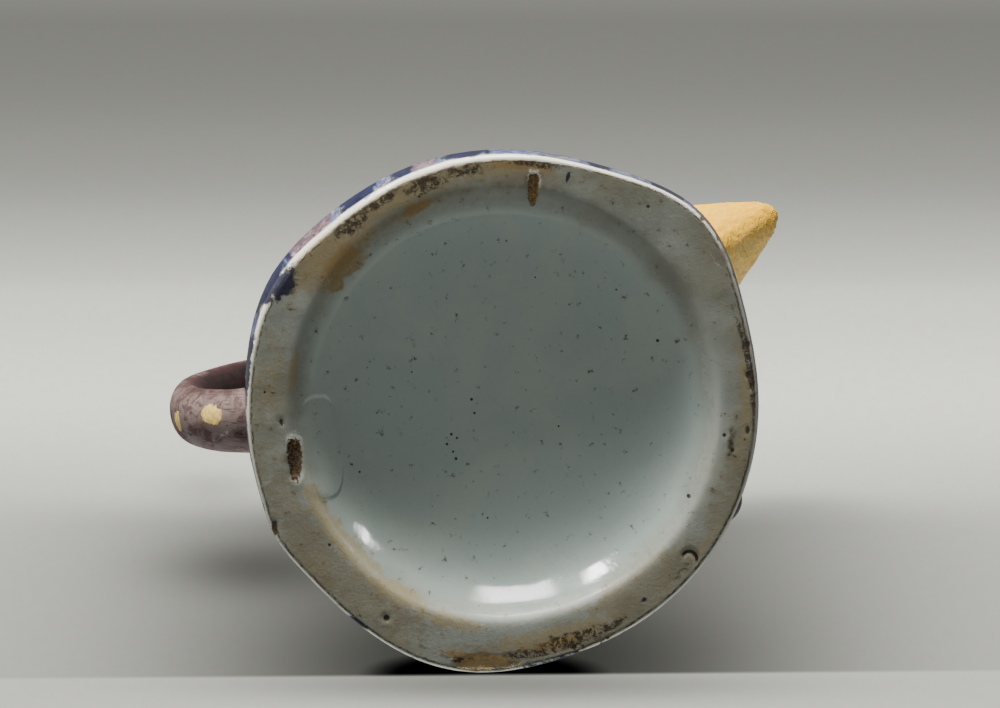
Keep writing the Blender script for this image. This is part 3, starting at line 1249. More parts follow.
# The foot's finish. Ways are degrees from the photo's right, anticlockwise; reaches are millimetres
footPaint = dict(
    recess=(tone(190, 201, 191), tone(182, 197, 190)), rim=(tone(166, 170, 158), tone(156, 162, 152)),
    tan=((136, 15, 48.5, 5.0, 1.1), (118, 18, 49.6, 2.8, 1.1), (98, 12, 50.0, 2.2, 1.0),
         (207, 7, 43.2, 1.5, 1.3), (222, 12, 43.0, 1.7, 1.5), (240, 10, 44.2, 1.7, 1.4),
         (256, 9, 45.4, 1.7, 1.1), (88, 12, 50.2, 1.6, 0.9), (4, 16, 50.6, 1.3, 0.8),
         (325, 14, 50.6, 1.2, 0.6), (283, 16, 48.6, 2.2, 1.0), (170, 8, 43.8, 1.2, 0.9)),
    olive=((222, 34, 48.5, 5.0, 1.0), (120, 34, 48.0, 5.0, 0.8), (172, 16, 48.0, 4.0, 0.7),
           (275, 20, 50.5, 2.4, 0.9), (308, 18, 47.0, 5.0, 1.0), (350, 24, 49.0, 3.0, 0.6),
           (86, 18, 48.5, 3.5, 0.8)),
    ochre=((137, 6.5, 44.6, 3.4, 1.15), (143, 3, 43.0, 1.6, 1.1), (113, 5, 45.2, 1.3, 1.1),
           (86, 8, 50.6, 1.0, 0.9), (264, 7, 52.4, 1.5, 1.2), (283, 9, 50.2, 1.2, 0.9)),
    speckle=((129, 4.5, 49.8, 2.2, 1.5), (120.5, 5, 50.4, 1.6, 1.5), (109, 4.5, 49.0, 1.7, 1.5),
             (99, 5, 49.8, 1.3, 1.2), (114, 24, 51.4, 1.0, 1.1), (82, 9, 51.0, 0.8, 0.9),
             (287, 7, 50.2, 1.5, 1.5), (278, 8, 51.4, 0.9, 1.3), (296, 6, 50.6, 0.8, 1.2),
             (10, 12, 51.9, 0.7, 1.3), (352, 6, 48.0, 1.3, 0.6), (262, 8, 53.0, 0.8, 0.8),
             (318, 4, 50.4, 1.0, 0.6)),
    blue=((150, 3.8, 52.2, 2.3, 1.5), (152, 5, 53.8, 1.2, 1.3), (98.5, 5.5, 53.4, 0.8, 1.6),
          (174, 5, 53.3, 0.8, 1.5), (166, 3, 53.6, 0.7, 1.2),
          (236.0, 3.0, 53.6, 0.6, 1.3), (288, 12, 54.2, 1.1, 1.7), (306.7, 1.0, 49.4, 0.6, 0.9),
          (200, 3, 53.6, 0.5, 1.0), (74.3, 0.45, 50.0, 1.4, 1.0)),
    # dabs on the painted side that the camera just sees past the roll
    sideBlue=((152, 8, 1.5), (124, 6, 1.3), (113, 3, 1.1), (98, 5, 1.3), (53, 4, 1.4), (30, 6, 1.3),
              (170, 7, 1.3), (68, 4, 1.0)),
    sideMauve=((138, 7, 1.5), (108, 4, 1.0), (40, 5, 1.2), (15, 6, 1.1)),
    # dark flecks of kiln grit in the recess and on the rim: u, v, half size
    grit=foot["pinholes"] + ((12.0, -4.5, 0.22), (24.0, 24.5, 0.20), (-19.0, 7.0, 0.20), (-30.0, -14.0, 0.24),
                             (7.0, 27.0, 0.18), (-3.0, -24.0, 0.20)))


def footMaterial():
    material, b, shader, place = glazedMaterial("glazedFoot")
    p, u, v, reach, way, height = (place[n] for n in ("Place", "U", "V", "Reach", "Way", "Height"))
    flat = b.join(u, v, 0.0)
    tear = b.noise(flat, 0.45, 5.0, 0.68)
    fineTear = b.noise(flat, 1.5, 4.0, 0.7)
    edge = b.attribute("edgeDistance")
    # marks lie on the faces that look down: 1 on the underside, 0 on the roll; the side is painted
    down = b.fade(b.split(b.surface("Normal"))[2], -0.30, -0.05)
    under = b.mul(b.step(edge, -0.3, 0.1), down)
    side = b.mul(b.step(height, 0.9, 1.8), b.fade(edge, -0.6, 0.4))
    wobble = b.swing(b.noise(flat, 0.12, 2.0), 2.4)
    rim = b.step(b.add(reach, wobble), 39.5, 44.0)
    recessGlaze = b.group("glaze", Place=p, Thin=footPaint["recess"][0], Thick=footPaint["recess"][1],
                          Pinholes=0.25)
    rimGlaze = b.group("glaze", Place=b.vector("SCALE", p, scale=1.3), Thin=footPaint["rim"][0],
                       Thick=footPaint["rim"][1], Pinholes=0.9)
    colour = b.mix(rim, recessGlaze["Color"], rimGlaze["Color"])

    def arcs(entries, off=reach):
        return b.most(*[b.group("arc", Way=way, Reach=off, Tear=tear, Middle_Way=w, Spread_Way=sw,
                                Middle_Reach=r, Spread_Reach=sr, Amount=a)["Mask"]
                        for w, sw, r, sr, a in entries])

    def patches(name):
        return b.mul(arcs(footPaint[name]), down)

    def sideDabs(name):
        # dabs all stand half way up the plinth's side
        return b.mul(arcs([(w, sw, 7.0, 9.0, a) for w, sw, a in footPaint[name]], height), side)

    def painted(kind, pale, deep, mask, **more):
        return b.group(kind, Place=p, Ground=colour, Pale=pale, Deep=deep, Mask=mask, **more)["Color"]

    def spotAt(middle, half, torn=tear, across=u, **more):
        return b.group("spot", U=across, V=v, Tear=torn, Middle_U=middle[0], Middle_V=middle[1],
                       Half_Wide=half[0], Half_Tall=half[1], **more)

    # dirt that the standing rim has taken up, most of it brown-grey and worked into the glaze
    film = b.add(b.step(edge, 0.0, 7.0, 0.85, 0.15),
                 b.swing(b.step(b.noise(flat, 0.055, 3.0), 0.35, 0.65), 0.9))
    grime = b.product(rim, under, b.add(film, b.swing(tear, 1.2)), 0.62)
    colour = b.mix(grime, colour, tone(134, 128, 100))
    colour = b.mix(b.product(patches("olive"), under, 0.55), colour, tone(142, 130, 98))
    tan = patches("tan")
    colour = b.mix(b.mul(tan, b.step(fineTear, 0.2, 0.7, 0.35, 0.85)), colour, tone(166, 150, 108))
    ochre = patches("ochre")
    colour = b.mix(b.mul(ochre, b.step(fineTear, 0.25, 0.6, 0.45, 1.0)), colour, tone(158, 132, 82))
    clots = b.noise(flat, 0.62, 6.0, 0.80, 0.4)
    specks = b.mul(patches("speckle"), b.step(clots, 0.44, 0.52))
    colour = b.mix(b.mul(specks, 0.9), colour,
                   b.mix(b.step(fineTear, 0.42, 0.58), tone(22, 15, 6), tone(74, 56, 28)))
    # the thin line where the edge is worn to the clay, inside the glaze's roll
    wave = b.swing(tear, 1.6)
    rub = b.product(down, b.step(b.add(edge, wave), -0.20, 0.0), b.fade(b.add(edge, wave), 0.10, 0.38),
                    b.step(b.noise(flat, 0.36, 5.0, 0.75), 0.42, 0.52))
    colour = b.mix(b.mul(rub, 0.85), colour, tone(80, 60, 34))
    bright = b.mul(b.fade(edge, -0.6, -0.1), b.sub(1.0, side))
    colour = b.mix(b.mul(bright, 0.85), colour, tone(238, 234, 212))
    # painted side of the plinth: blue and manganese strokes, some of which run over the edge
    around = b.join(b.mul(way, 0.95), b.mul(height, 1.6), 0.0)
    veins = b.noise(around, 0.085, 4.0, 0.62, 2.2)
    strokes = b.size(b.sub(veins, 0.5))
    blueSide = b.mul(side, b.fade(strokes, 0.050, 0.075))
    mauveSide = b.product(side, b.step(b.noise(around, 0.11, 5.0, 0.7, 1.0), 0.49, 0.56))
    colour = painted("sponge", ink["mauve"], ink["manganese"], mauveSide, Grain=0.8, Open=0.3)
    colour = painted("brush", ink["paleCobalt"], ink["cobalt"], blueSide, Streak=(1, 1, 0.5), Cover=0.92)
    colour = painted("brush", ink["mauve"], ink["manganese"], sideDabs("sideMauve"), Streak=(1, 1, 1),
                     Cover=0.9)
    bluePatch = b.most(arcs(footPaint["blue"]), sideDabs("sideBlue"))
    colour = painted("brush", tone(19, 22, 60), tone(10, 12, 38), bluePatch, Streak=(1, 1, 1), Cover=0.95)
    # a grey flake with a pale border, where the rim was knocked
    flake = spotAt((45.5, 31.6), (1.7, 4.8), Lean=40.0, Ragged=1.3, Soft=0.30)
    colour = b.mix(b.product(flake["Mask"], down, b.step(tear, 0.42, 0.60, 0.15, 0.75)), colour,
                   tone(140, 130, 114))
    ring = b.product(b.step(flake["Off"], 0.94, 1.0), b.fade(flake["Off"], 1.03, 1.10),
                     b.step(b.sub(45.6, u), -0.6, 1.2))
    colour = b.mix(b.product(ring, down, b.step(v, 30.5, 33.5, 0.55, 0.0)), colour, tone(214, 208, 194))
    sound, upward = colour, b.step(b.split(b.surface("Normal"))[2], 0.1, 0.4)
    # scars and chips, down to the clay
    rough = recessGlaze["Roughness"]
    bare = None
    for scar, inner, dark in ((foot["slotScar"], tone(160, 130, 84), tone(106, 84, 56)),
                              (foot["pitScar"], tone(128, 98, 54), tone(44, 30, 16))):
        su, sv, half, length, lean = scar[:5]
        # drawn to a point at the lower end
        narrow = b.add(1.0, b.mul(b.math("MAXIMUM", b.sub(sv, v), 0.0), 0.14))
        spot = spotAt((su, sv), (half, length), fineTear, b.add(su, b.mul(b.sub(u, su), narrow)), Lean=lean,
                      Square=3.4, Ragged=1.1, Soft=0.07)
        lip = b.product(b.step(spot["Off"], 0.98, 1.06), b.fade(spot["Off"], 1.16, 1.40),
                        b.step(b.add(v, b.mul(tear, 3.0)), sv + length * 0.3 + 1.5, sv + length * 0.9 + 1.5,
                               0.0, 1.0))
        colour = b.mix(b.mul(lip, 0.85), colour, tone(236, 236, 224))
        shade = b.add(b.step(b.sub(u, su), -half * 1.6, half * 1.6, 0.2, 0.8),
                      b.swing(b.step(fineTear, 0.40, 0.60), 1.3))
        colour = b.mix(spot["Mask"], colour, b.mix(shade, dark, inner))
        bare = spot["Mask"] if bare is None else b.most(bare, spot["Mask"])
    for number, (hu, hv, wide, tall, _) in enumerate(foot["chips"]):
        spot = spotAt((hu, hv), (wide * 0.9, tall * 0.9), Ragged=3.0, Soft=0.08)
        clay = tone(192, 166, 114) if number == 0 else tone(84, 62, 40)
        colour = b.mix(b.mul(spot["Mask"], 0.92) if number == 0 else b.product(spot["Mask"], down, 0.92),
                       colour, b.mix(b.step(fineTear, 0.50, 0.70), clay,
                                     tone(150, 124, 78) if number == 0 else tone(58, 42, 28)))
        bare = b.most(bare, spot["Mask"])
    cu, cv, cr = foot["crescentScar"]
    moon = spotAt((cu, cv), (cr, cr), Ragged=0.2, Soft=0.05)
    bow = b.product(b.step(moon["Off"], 0.70, 0.82), b.fade(moon["Off"], 1.10, 1.24),
                    b.step(b.add(b.sub(v, cv), b.mul(b.sub(u, cu), 0.4)), -0.4, 0.6))
    colour = b.mix(bow, colour, tone(60, 44, 30))
    tu, tv, wide, tall = foot["tongue"][:4]
    run = spotAt((tu, tv), (wide, tall), across=b.add(u, b.mul(b.sub(v, tv), 0.10)), Square=3.0, Ragged=0.12,
                 Soft=0.05)["Off"]
    rib = b.mul(b.step(run, 0.92, 0.97), b.fade(run, 0.99, 1.04))
    colour = b.mix(b.product(rib, b.step(v, tv + tall * 0.80, tv + tall * 0.95), 0.8), colour,
                   tone(236, 240, 236))
    colour = b.mix(b.product(rib, b.fade(v, tv - tall * 0.9, tv - tall * 0.2), b.step(u, tu, tu + wide * 0.6),
                             0.6), colour, tone(104, 116, 112))
    for gu, gv, size in footPaint["grit"]:
        spot = spotAt((gu, gv), (size, size), fineTear, Ragged=0.4, Soft=0.22)
        colour = b.mix(b.mul(spot["Mask"], 0.92), colour, tone(34, 28, 26))
    turn = b.product(down, b.fade(height, 0.9, 2.2), b.step(reach, 36.0, 38.0))
    b.feed(shader.inputs["Coat Weight"], b.mul(b.sub(1.0, turn), 0.35))
    colour, bare = b.mix(upward, colour, sound), b.mul(bare, b.sub(1.0, upward))
    roughness = b.most(rough, b.mul(turn, 0.5), b.mul(rim, b.step(tear, 0.3, 0.7, 0.22, 0.46)),
                       b.mul(bare, 0.8), b.mul(specks, 0.6))
    roughness = b.mix(b.most(side, bright), b.join(roughness, roughness, roughness), (0.12, 0.12, 0.12, 1.0))
    peel = b.mul(b.noise(flat, 1.1, 3.0, 0.7), 0.22)
    height = b.add(b.add(recessGlaze["Height"], peel),
                   b.mul(b.product(rim, under), b.add(b.mul(tear, 0.5), b.mul(fineTear, 0.35))))
    height = b.sub(height, b.add(b.mul(specks, 0.3), b.mul(bare, b.mul(fineTear, 0.8))))
    finishSurface(b, shader, colour, b.split(roughness)[0], height, 0.30, 0.0005)
    return material


def hatMaterial():
    material, b, shader, place = glazedMaterial("yellowHat", 0.0)
    shader.inputs["Specular IOR Level"].default_value = 0.22
    glaze = b.group("glaze", Place=place["Place"], Thin=tone(232, 232, 220), Thick=tone(224, 230, 224),
                    Pinholes=0.35)
    # the yellow lies thick on one side of each fold and thin on the other
    thick = b.step(b.dot(b.surface("Normal"), photoUp), -0.35, 0.35)
    colour = b.group("brush", Place=place["Place"], Ground=glaze["Color"],
                     Pale=b.mix(thick, tone(246, 208, 124), tone(230, 174, 0)),
                     Deep=b.mix(thick, tone(238, 194, 100), tone(220, 160, 0)), Mask=1.0,
                     Streak=(0.5, 0.5, 1), Cover=0.98)["Color"]
    curve = b.surface("Pointiness")
    colour = b.mix(b.step(curve, 0.53, 0.62, 0.0, 0.5), colour, tone(250, 200, 80))
    worn = b.group("wear", Place=place["Place"], Color=colour, Edge=b.step(curve, 0.53, 0.66, 0.0, 0.55),
                   Clay=tone(206, 176, 128))
    blot = b.step(b.noise(place["Place"], 0.30, 4.0, 0.7), 0.60, 0.74)
    colour = b.mix(b.mul(blot, 0.2), worn["Color"], tone(232, 184, 72))
    # the paint ends raggedly in the throat
    end = b.step(b.add(b.attribute("throat"), b.swing(b.noise(place["Place"], 0.4, 3.0), 0.5)), 0.42, 0.56)
    colour = b.mix(end, colour, b.group("glaze", Place=place["Place"], Thin=tone(204, 196, 178),
                                        Thick=tone(192, 196, 188), Pinholes=1.0)["Color"])
    # manganese wash that ran from the hair over the back of the brim's underside
    back = b.product(b.step(b.split(place["Place"])[1], 18.0, 34.0),
                     b.fade(b.split(b.surface("Normal"))[2], -0.45, -0.15))
    colour = b.mix(b.mul(back, b.step(b.noise(place["Place"], 0.22, 4.0, 0.7), 0.30, 0.52, 0.80, 0.96)),
                   colour, tone(62, 42, 40))
    daub = b.add(b.mul(b.noise(place["Place"], 0.16, 3.0), 5.0),
                 b.noise(b.vector("MULTIPLY", place["Place"], (0.5, 0.5, 1.6)), 0.8, 3.0))
    finishSurface(b, shader, colour, b.step(b.noise(place["Place"], 0.5, 3.0), 0.3, 0.7, 0.50, 0.64), daub,
                  0.45, 0.0005)
    return material


def handleMaterial():
    material, b, shader, place = glazedMaterial("spongedHandle", 0.0)
    shader.inputs["Specular IOR Level"].default_value = 0.18
    p = place["Place"]
    along, outward = b.attribute("handleWay"), b.attribute("handleOut")
    x = b.split(p)[0]
    glaze = b.group("glaze", Place=p, Thin=tone(146, 132, 124), Thick=tone(128, 116, 112), Pinholes=0.6)
    # washes drawn along the handle, then darker clots and thin lines over them
    lie = b.join(b.mul(along, 0.40), b.mul(x, 1.0), b.mul(outward, 0.6))
    wash = b.noise(lie, 0.26, 5.0, 0.62, 1.2)
    colour = b.mix(b.step(wash, 0.34, 0.60, 0.96, 0.35), glaze["Color"], tone(98, 80, 74))
    streak = b.noise(lie, 0.40, 6.0, 0.74, 0.7)
    colour = b.mix(b.mul(b.step(streak, 0.46, 0.60), 0.82), colour, tone(78, 52, 52))
    colour = b.mix(b.mul(b.step(b.noise(p, 0.9, 4.0, 0.7), 0.58, 0.70), 0.7), colour, tone(48, 30, 30))
    colour = b.mix(b.mul(b.step(b.noise(lie, 0.8, 3.0, 0.6, 1.5), 0.63, 0.70), 0.5), colour,
                   tone(196, 184, 176))
    wet = b.swing(b.noise(lie, 0.30, 4.0, 0.6, 1.0), 5.0)
    colour = b.mix(b.step(b.add(outward, wet), -2.0, 1.0, 0.97, 0.0), colour,
                   b.mix(b.step(streak, 0.42, 0.60), tone(16, 8, 9), tone(38, 22, 24)))
    colour = b.mix(b.step(b.add(x, wet), handle["lean"] - 7.5, handle["lean"] - 4.5, 0.92, 0.0), colour,
                   tone(52, 32, 32))
    # yellow dots down the outer face, pressed on over the sponging
    pitch = 20.6
    nearest = b.sub(b.math("FRACT", b.div(b.add(along, 12.0), pitch)), 0.5)
    wobble = b.sub(b.noise(p, 0.4, 2.0), 0.5)
    middle = b.step(along, 25.0, 38.0, handle["lean"] - 2.0, handle["lean"] + 0.4)
    off = b.math("SQRT", b.add(b.power(b.div(b.mul(nearest, pitch), 3.3), 2.0),
                               b.power(b.div(b.sub(x, middle), 2.2), 2.0)))
    dot = b.mul(b.fade(b.add(off, b.mul(wobble, 0.9)), 0.86, 1.06), b.step(outward, 1.0, 2.0))
    colour = b.mix(b.mul(dot, 0.93), colour,
                   b.mix(b.step(b.noise(p, 0.9, 3.0), 0.4, 0.6), tone(238, 206, 122), tone(214, 178, 100)))
    rough = b.most(b.step(streak, 0.4, 0.7, 0.34, 0.50), b.step(outward, -2.0, 1.0, 0.95, 0.0))
    finishSurface(b, shader, colour, rough, b.add(glaze["Height"], b.mul(dot, 0.4)), 0.35, 0.0005)
    return material


def figureMaterial():
    material, b, shader, place = glazedMaterial("paintedFigure")
    p = place["Place"]
    x, y, z = b.split(p)
    tear = b.sub(b.noise(p, 0.5, 4.0, 0.6), 0.5)
    raw = {name: b.attribute(name) for name in zoneNames if name not in ("plinth", "hat", "handle")}
    zone = {name: b.step(b.add(value, b.mul(tear, 0.30)), 0.42, 0.58) for name, value in raw.items()}
    glaze = b.group("glaze", Place=p, Thin=tone(226, 226, 216), Thick=tone(208, 220, 222), Pinholes=0.35)
    colour = glaze["Color"]

    def brushed(mask, pale, deep, streak=(1, 1, 0.4), cover=0.92):
        return b.group("brush", Place=p, Ground=colour, Pale=pale, Deep=deep, Mask=mask, Streak=streak,
                       Cover=cover)["Color"]

    def sponged(mask, pale, deep, grain=0.7, openness=0.5):
        return b.group("sponge", Place=p, Ground=colour, Pale=pale, Deep=deep, Mask=mask, Grain=grain,
                       Open=openness)["Color"]

    def lines(value, pitch, half):
        # Lines at a regular pitch, as thick as half on either side, both in millimetres
        off = b.mul(b.size(b.sub(b.math("FRACT", b.div(value, pitch)), 0.5)), pitch)
        return b.fade(b.add(off, b.mul(tear, 0.5)), half * 0.6, half * 1.4)

    # the cask: open sponging, staves drawn by brush
    colour = sponged(zone["barrel"], tone(176, 150, 146), tone(112, 78, 74), 0.55, 0.85)
    around = b.mul(b.math("ARCTAN2", b.sub(y, barrel["setBack"] / mm), x), barrel["middleRadius"] / mm)
    stave = math.tau * barrel["middleRadius"] / mm / barrel["staves"]
    colour = brushed(b.mul(zone["barrel"], lines(b.add(around, stave * 0.5), stave, 0.42)), ink["mauve"],
                     ink["manganese"], cover=0.85)
    colour = brushed(zone["hoops"], ink["paleYellow"], ink["yellow"])
    # the coat: sprigs of blue petals round a yellow eye
    near = b.cells(p, 0.090, spread=0.75)
    petals = b.cells(p, 0.42, spread=0.6)
    spray = b.mul(b.fade(petals, 0.30, 0.44), b.fade(near, 0.33, 0.40))
    colour = brushed(b.product(zone["coat"], spray, b.step(near, 0.11, 0.15)), ink["paleCobalt"],
                     ink["cobalt"], (1, 1, 1))
    colour = brushed(b.mul(zone["coat"], b.fade(near, 0.075, 0.11)), ink["yellow"], ink["ochre"], (1, 1, 1))
    # collar and turned fronts: slanting strokes of blue
    colour = brushed(zone["lining"], tone(176, 188, 208), tone(150, 166, 196), cover=0.5)
    colour = brushed(b.mul(zone["lining"], lines(b.add(b.mul(x, 0.8), b.add(z, b.mul(y, 0.5))), 4.4, 0.75)),
                     ink["paleCobalt"], ink["cobalt"])
    small = b.cells(p, 0.20, spread=0.35)
    colour = brushed(b.mul(zone["waistcoat"], b.fade(small, 0.15, 0.22)), ink["paleYellow"], ink["ochre"],
                     (1, 1, 1))
    colour = brushed(b.product(zone["waistcoat"], b.step(small, 0.30, 0.34), b.fade(small, 0.37, 0.41)),
                     ink["paleCobalt"], ink["cobalt"], (1, 1, 1), 0.7)
    colour = sponged(zone["breeches"], ink["paleCobalt"], ink["cobalt"], 0.8, 0.45)
    colour = brushed(b.mul(zone["stockings"], lines(z, 4.6, 0.34)), ink["paleCobalt"], ink["cobalt"],
                     cover=0.8)
    colour = brushed(zone["shoes"], tone(92, 64, 64), tone(46, 30, 32), cover=0.96)
    for name in ("buckles", "cuffs"):
        colour = brushed(zone[name], ink["paleYellow"], ink["yellow"], (1, 1, 1), 0.95)
    colour = brushed(b.mul(zone["cravat"], lines(x, 2.6, 0.30)), ink["paleCobalt"], ink["cobalt"], cover=0.75)
    colour = brushed(zone["buttons"], ink["cobalt"], ink["indigo"], (1, 1, 1), 0.95)
    # beaker and jug: blue bands and a wave between them
    wave = b.math("SINE", b.add(b.mul(x, 1.1), b.mul(y, 0.9)))
    band = b.most(lines(z, 9.5, 0.75),
                  b.fade(b.size(b.sub(b.math("FRACT", b.div(z, 9.5)), b.mul(wave, 0.07))), 0.03, 0.07))
    colour = brushed(b.mul(zone["vessels"], band), ink["paleCobalt"], ink["cobalt"], (1, 1, 1))
    colour = brushed(zone["hair"], tone(150, 120, 122), tone(58, 36, 38), (1.4, 1.4, 0.22), 0.96)
    # the face, on the head's own axes
    middle = seat / mm + Vector(head["middle"])
    turn = head["turn"]
    local = b.vector("SCALE", b.vector("SUBTRACT", p, tuple(middle)), scale=1.0 / head["size"])
    fx = b.dot(local, (math.cos(turn), -math.sin(turn), 0.0))
    fy = b.dot(local, (math.sin(turn), math.cos(turn), 0.0))
    fz = b.split(local)[2]
    ax = b.size(fx)
    face = b.mul(zone["skin"], b.fade(fy, -9.0, -7.0))

    def dab(u, v, wide, tall, soft=0.12, ragged=0.10):
        return b.group("spot", U=ax if u else fx, V=fz, Tear=b.add(tear, 0.5), Middle_U=u, Middle_V=v,
                       Half_Wide=wide, Half_Tall=tall, Ragged=ragged, Soft=soft)

    colour = b.mix(b.mul(zone["skin"], 0.35), colour, tone(236, 222, 204))
    cheek = dab(8.6, -4.8, 5.2, 4.4, 0.55)["Mask"]
    colour = b.mix(b.product(face, cheek, 0.30), colour, tone(206, 128, 108))
    lips = dab(0.0, -10.4, 4.2, 2.0, 0.12)["Mask"]
    colour = b.mix(b.product(face, lips, 0.60), colour, tone(166, 84, 72))
    parting = b.mul(b.fade(b.size(b.add(fz, b.sub(10.5, b.mul(b.mul(fx, fx), 0.035)))), 0.22, 0.48),
                    b.fade(ax, 3.6, 4.6))
    brow = b.mul(b.fade(b.size(b.sub(fz, b.sub(8.0, b.mul(b.power(b.sub(ax, 6.6), 2.0), 0.09)))), 0.40, 0.80),
                 b.mul(b.step(ax, 2.6, 3.8), b.fade(ax, 10.0, 11.6)))
    eye = dab(6.4, 3.0, 3.5, 1.75, 0.06, 0.04)
    lid = b.mul(b.step(eye["Off"], 0.86, 0.98), b.fade(eye["Off"], 1.12, 1.30))
    iris = dab(6.2, 3.0, 1.35, 1.45, 0.10, 0.04)
    colour = b.mix(b.product(face, eye["Mask"], 0.7), colour, tone(240, 242, 240))
    colour = b.mix(b.product(face, iris["Mask"], 0.85), colour, ink["cobalt"])
    colour = b.mix(b.product(face, dab(6.2, 3.0, 0.65, 0.7, 0.10, 0.04)["Mask"], 0.95), colour,
                   tone(22, 16, 20))
    nostril = dab(1.9, -4.9, 0.8, 0.5, 0.25)["Mask"]
    drawn = b.most(b.mul(parting, 0.85), b.mul(brow, 0.9),
                   b.mul(lid, b.step(b.sub(fz, 3.0), -1.6, 0.2, 0.45, 0.95)), b.mul(nostril, 0.7))
    colour = b.mix(b.mul(face, drawn), colour, ink["manganese"])
    # thin drawn outlines where one painted part meets the next
    outline = None
    for name in ("coat", "lining", "cuffs", "vessels", "breeches", "skin"):
        ring = b.mul(b.step(raw[name], 0.22, 0.38), b.fade(raw[name], 0.62, 0.80))
        outline = ring if outline is None else b.most(outline, ring)
    outline = b.mul(outline, b.step(b.noise(p, 0.3, 3.0), 0.42, 0.56))
    colour = b.mix(b.mul(outline, 0.70), colour, ink["indigo"])
    curve = b.surface("Pointiness")
    worn = b.group("wear", Place=p, Color=colour, Edge=b.step(curve, 0.54, 0.70, 0.0, 0.42),
                   Clay=tone(176, 140, 98))
    finishSurface(b, shader, worn["Color"], b.most(glaze["Roughness"], b.mul(worn["Bare"], 0.6)),
                  glaze["Height"])
    return material


def insideMaterial():
    # Thinner, greyer glaze over the throwing ridges, with clay showing where it crawled back
    material, b, shader, place = glazedMaterial("glazedInside")
    glaze = b.group("glaze", Place=place["Place"], Thin=tone(204, 196, 178), Thick=tone(192, 196, 188),
                    Pinholes=1.0)
    crawl = b.step(b.noise(place["Place"], 0.16, 5.0, 0.7, 0.8), 0.66, 0.72)
    colour = b.mix(b.mul(crawl, 0.8), glaze["Color"], tone(170, 130, 88))
    finishSurface(b, shader, colour, b.most(glaze["Roughness"], b.mul(crawl, 0.6)),
                  b.sub(glaze["Height"], b.mul(crawl, 0.5)))
    return material


def dressJug():
    # One material slot for each kind of finish, chosen face by face from the zones
    mesh = jug.data
    mesh.materials.clear()
    for finish in (footMaterial, figureMaterial, hatMaterial, handleMaterial, insideMaterial):
        mesh.materials.append(finish())
    # the last entry is for points of no zone, which lie inside
    ownSlots = dict(plinth=0, hat=2, handle=3)
    which = [ownSlots.get(name, 1) for name in zoneNames] + [4]
    chosen = []
    for polygon in mesh.polygons:
        votes = [which[zones[v]] for v in polygon.vertices]
        chosen.append(max(sorted(set(votes)), key=votes.count))
    mesh.polygons.foreach_set("material_index", chosen)
    mesh.polygons.foreach_set("use_smooth", [True] * len(chosen))
    mesh.update()


dressJug()
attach(jug, "root")
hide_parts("jug")
print("jug dressed:", len(jug.data.materials), "materials")


# Camera, lights and stage. Places are as the camera sees them, in metres: x right, y up, z to the viewer
camera = dict(lens=87.1, foot=(0.00041, -0.01158, -0.5), axis=(-0.002, 0.0719, -1.0))
axisZ = Vector(camera["axis"]).normalized()
front = Vector((math.cos(photoRoll), math.sin(photoRoll), 0.0))
front = (front - axisZ * front.dot(axisZ)).normalized()
axisY = -front
axisX = axisY.cross(axisZ)
# the rows are the jug's axes as the camera sees them, so this takes camera directions to the jug's
turnToWorld = Matrix((axisX, axisY, axisZ))


def fromCamera(place):
    return turnToWorld @ (Vector(place) - Vector(camera["foot"])) + shift


def addCamera():
    made = bpy.data.cameras.new("camera")
    made.lens, made.sensor_width, made.clip_start, made.clip_end = camera["lens"], 36.0, 0.01, 10.0
    eye = bpy.data.objects.new("camera", made)
    eye.matrix_world = Matrix.Translation(fromCamera((0, 0, 0))) @ turnToWorld.to_4x4()
    bpy.context.scene.collection.objects.link(eye)
    bpy.context.scene.camera = eye


lights = (dict(name="window", place=(-0.25, 0.87, -0.43), size=(0.60, 0.35), power=39.0,
               color=(1.0, 0.985, 0.96), serves="fill"),
          dict(name="pane", place=(-0.10, 0.87, -0.28), size=(0.38, 0.52), power=16.0,
               color=(1.0, 0.99, 0.97), serves="shine"),
          dict(name="glint", place=(-0.47, 0.76, -0.33), size=(0.10, 0.42), power=9.5, color=(1.0, 1.0, 1.0),
               serves="shine"),
          dict(name="spark", place=(0.73, 0.52, -0.36), size=(0.03, 0.30), power=1.7, color=(1.0, 1.0, 1.0),
               serves="shine"),
          dict(name="room", place=(-0.55, 0.20, 0.35), size=(0.8, 0.8), power=0.8, color=(0.97, 0.98, 1.0),
               serves="fill"),
          dict(name="floor bounce", place=(0.10, -0.80, -0.34), size=(0.8, 0.3), power=0.85,
               color=(1.0, 1.0, 0.97), serves="fill"),
          dict(name="below", place=(-0.05, -0.80, -0.82), aim=(0.0, -0.01, -0.60), size=(0.8, 0.5),
               power=10.0, color=(0.88, 0.94, 1.0), serves="fill"),
          dict(name="above the hat", place=(0.0, 0.25, -1.55), aim=(0.0, 0.0, -0.60), size=(0.5, 0.5),
               power=7.0, color=(1.0, 0.98, 0.94), serves="fill"))


def addLights():
    for lamp in lights:
        data = bpy.data.lights.new(lamp["name"], "AREA")
        data.shape, data.energy, data.color = "RECTANGLE", lamp["power"], lamp["color"]
        data.size, data.size_y = lamp["size"]
        made = bpy.data.objects.new(lamp["name"], data)
        place, aim = fromCamera(lamp["place"]), fromCamera(lamp.get("aim", (0.0, -0.01, -0.5)))
        turn = (aim - place).to_track_quat("-Z", "Y").to_matrix().to_4x4()
        made.matrix_world = Matrix.Translation(place) @ turn
        made.visible_camera = False
        made.visible_diffuse, made.visible_glossy = lamp["serves"] != "shine", lamp["serves"] != "fill"
        bpy.context.scene.collection.objects.link(made)
    world = bpy.data.worlds.new("room")
    world.use_nodes = True
    world.node_tree.nodes["Background"].inputs["Color"].default_value = (0.86, 0.87, 0.86, 1.0)
    world.node_tree.nodes["Background"].inputs["Strength"].default_value = 0.165
    bpy.context.scene.world = world


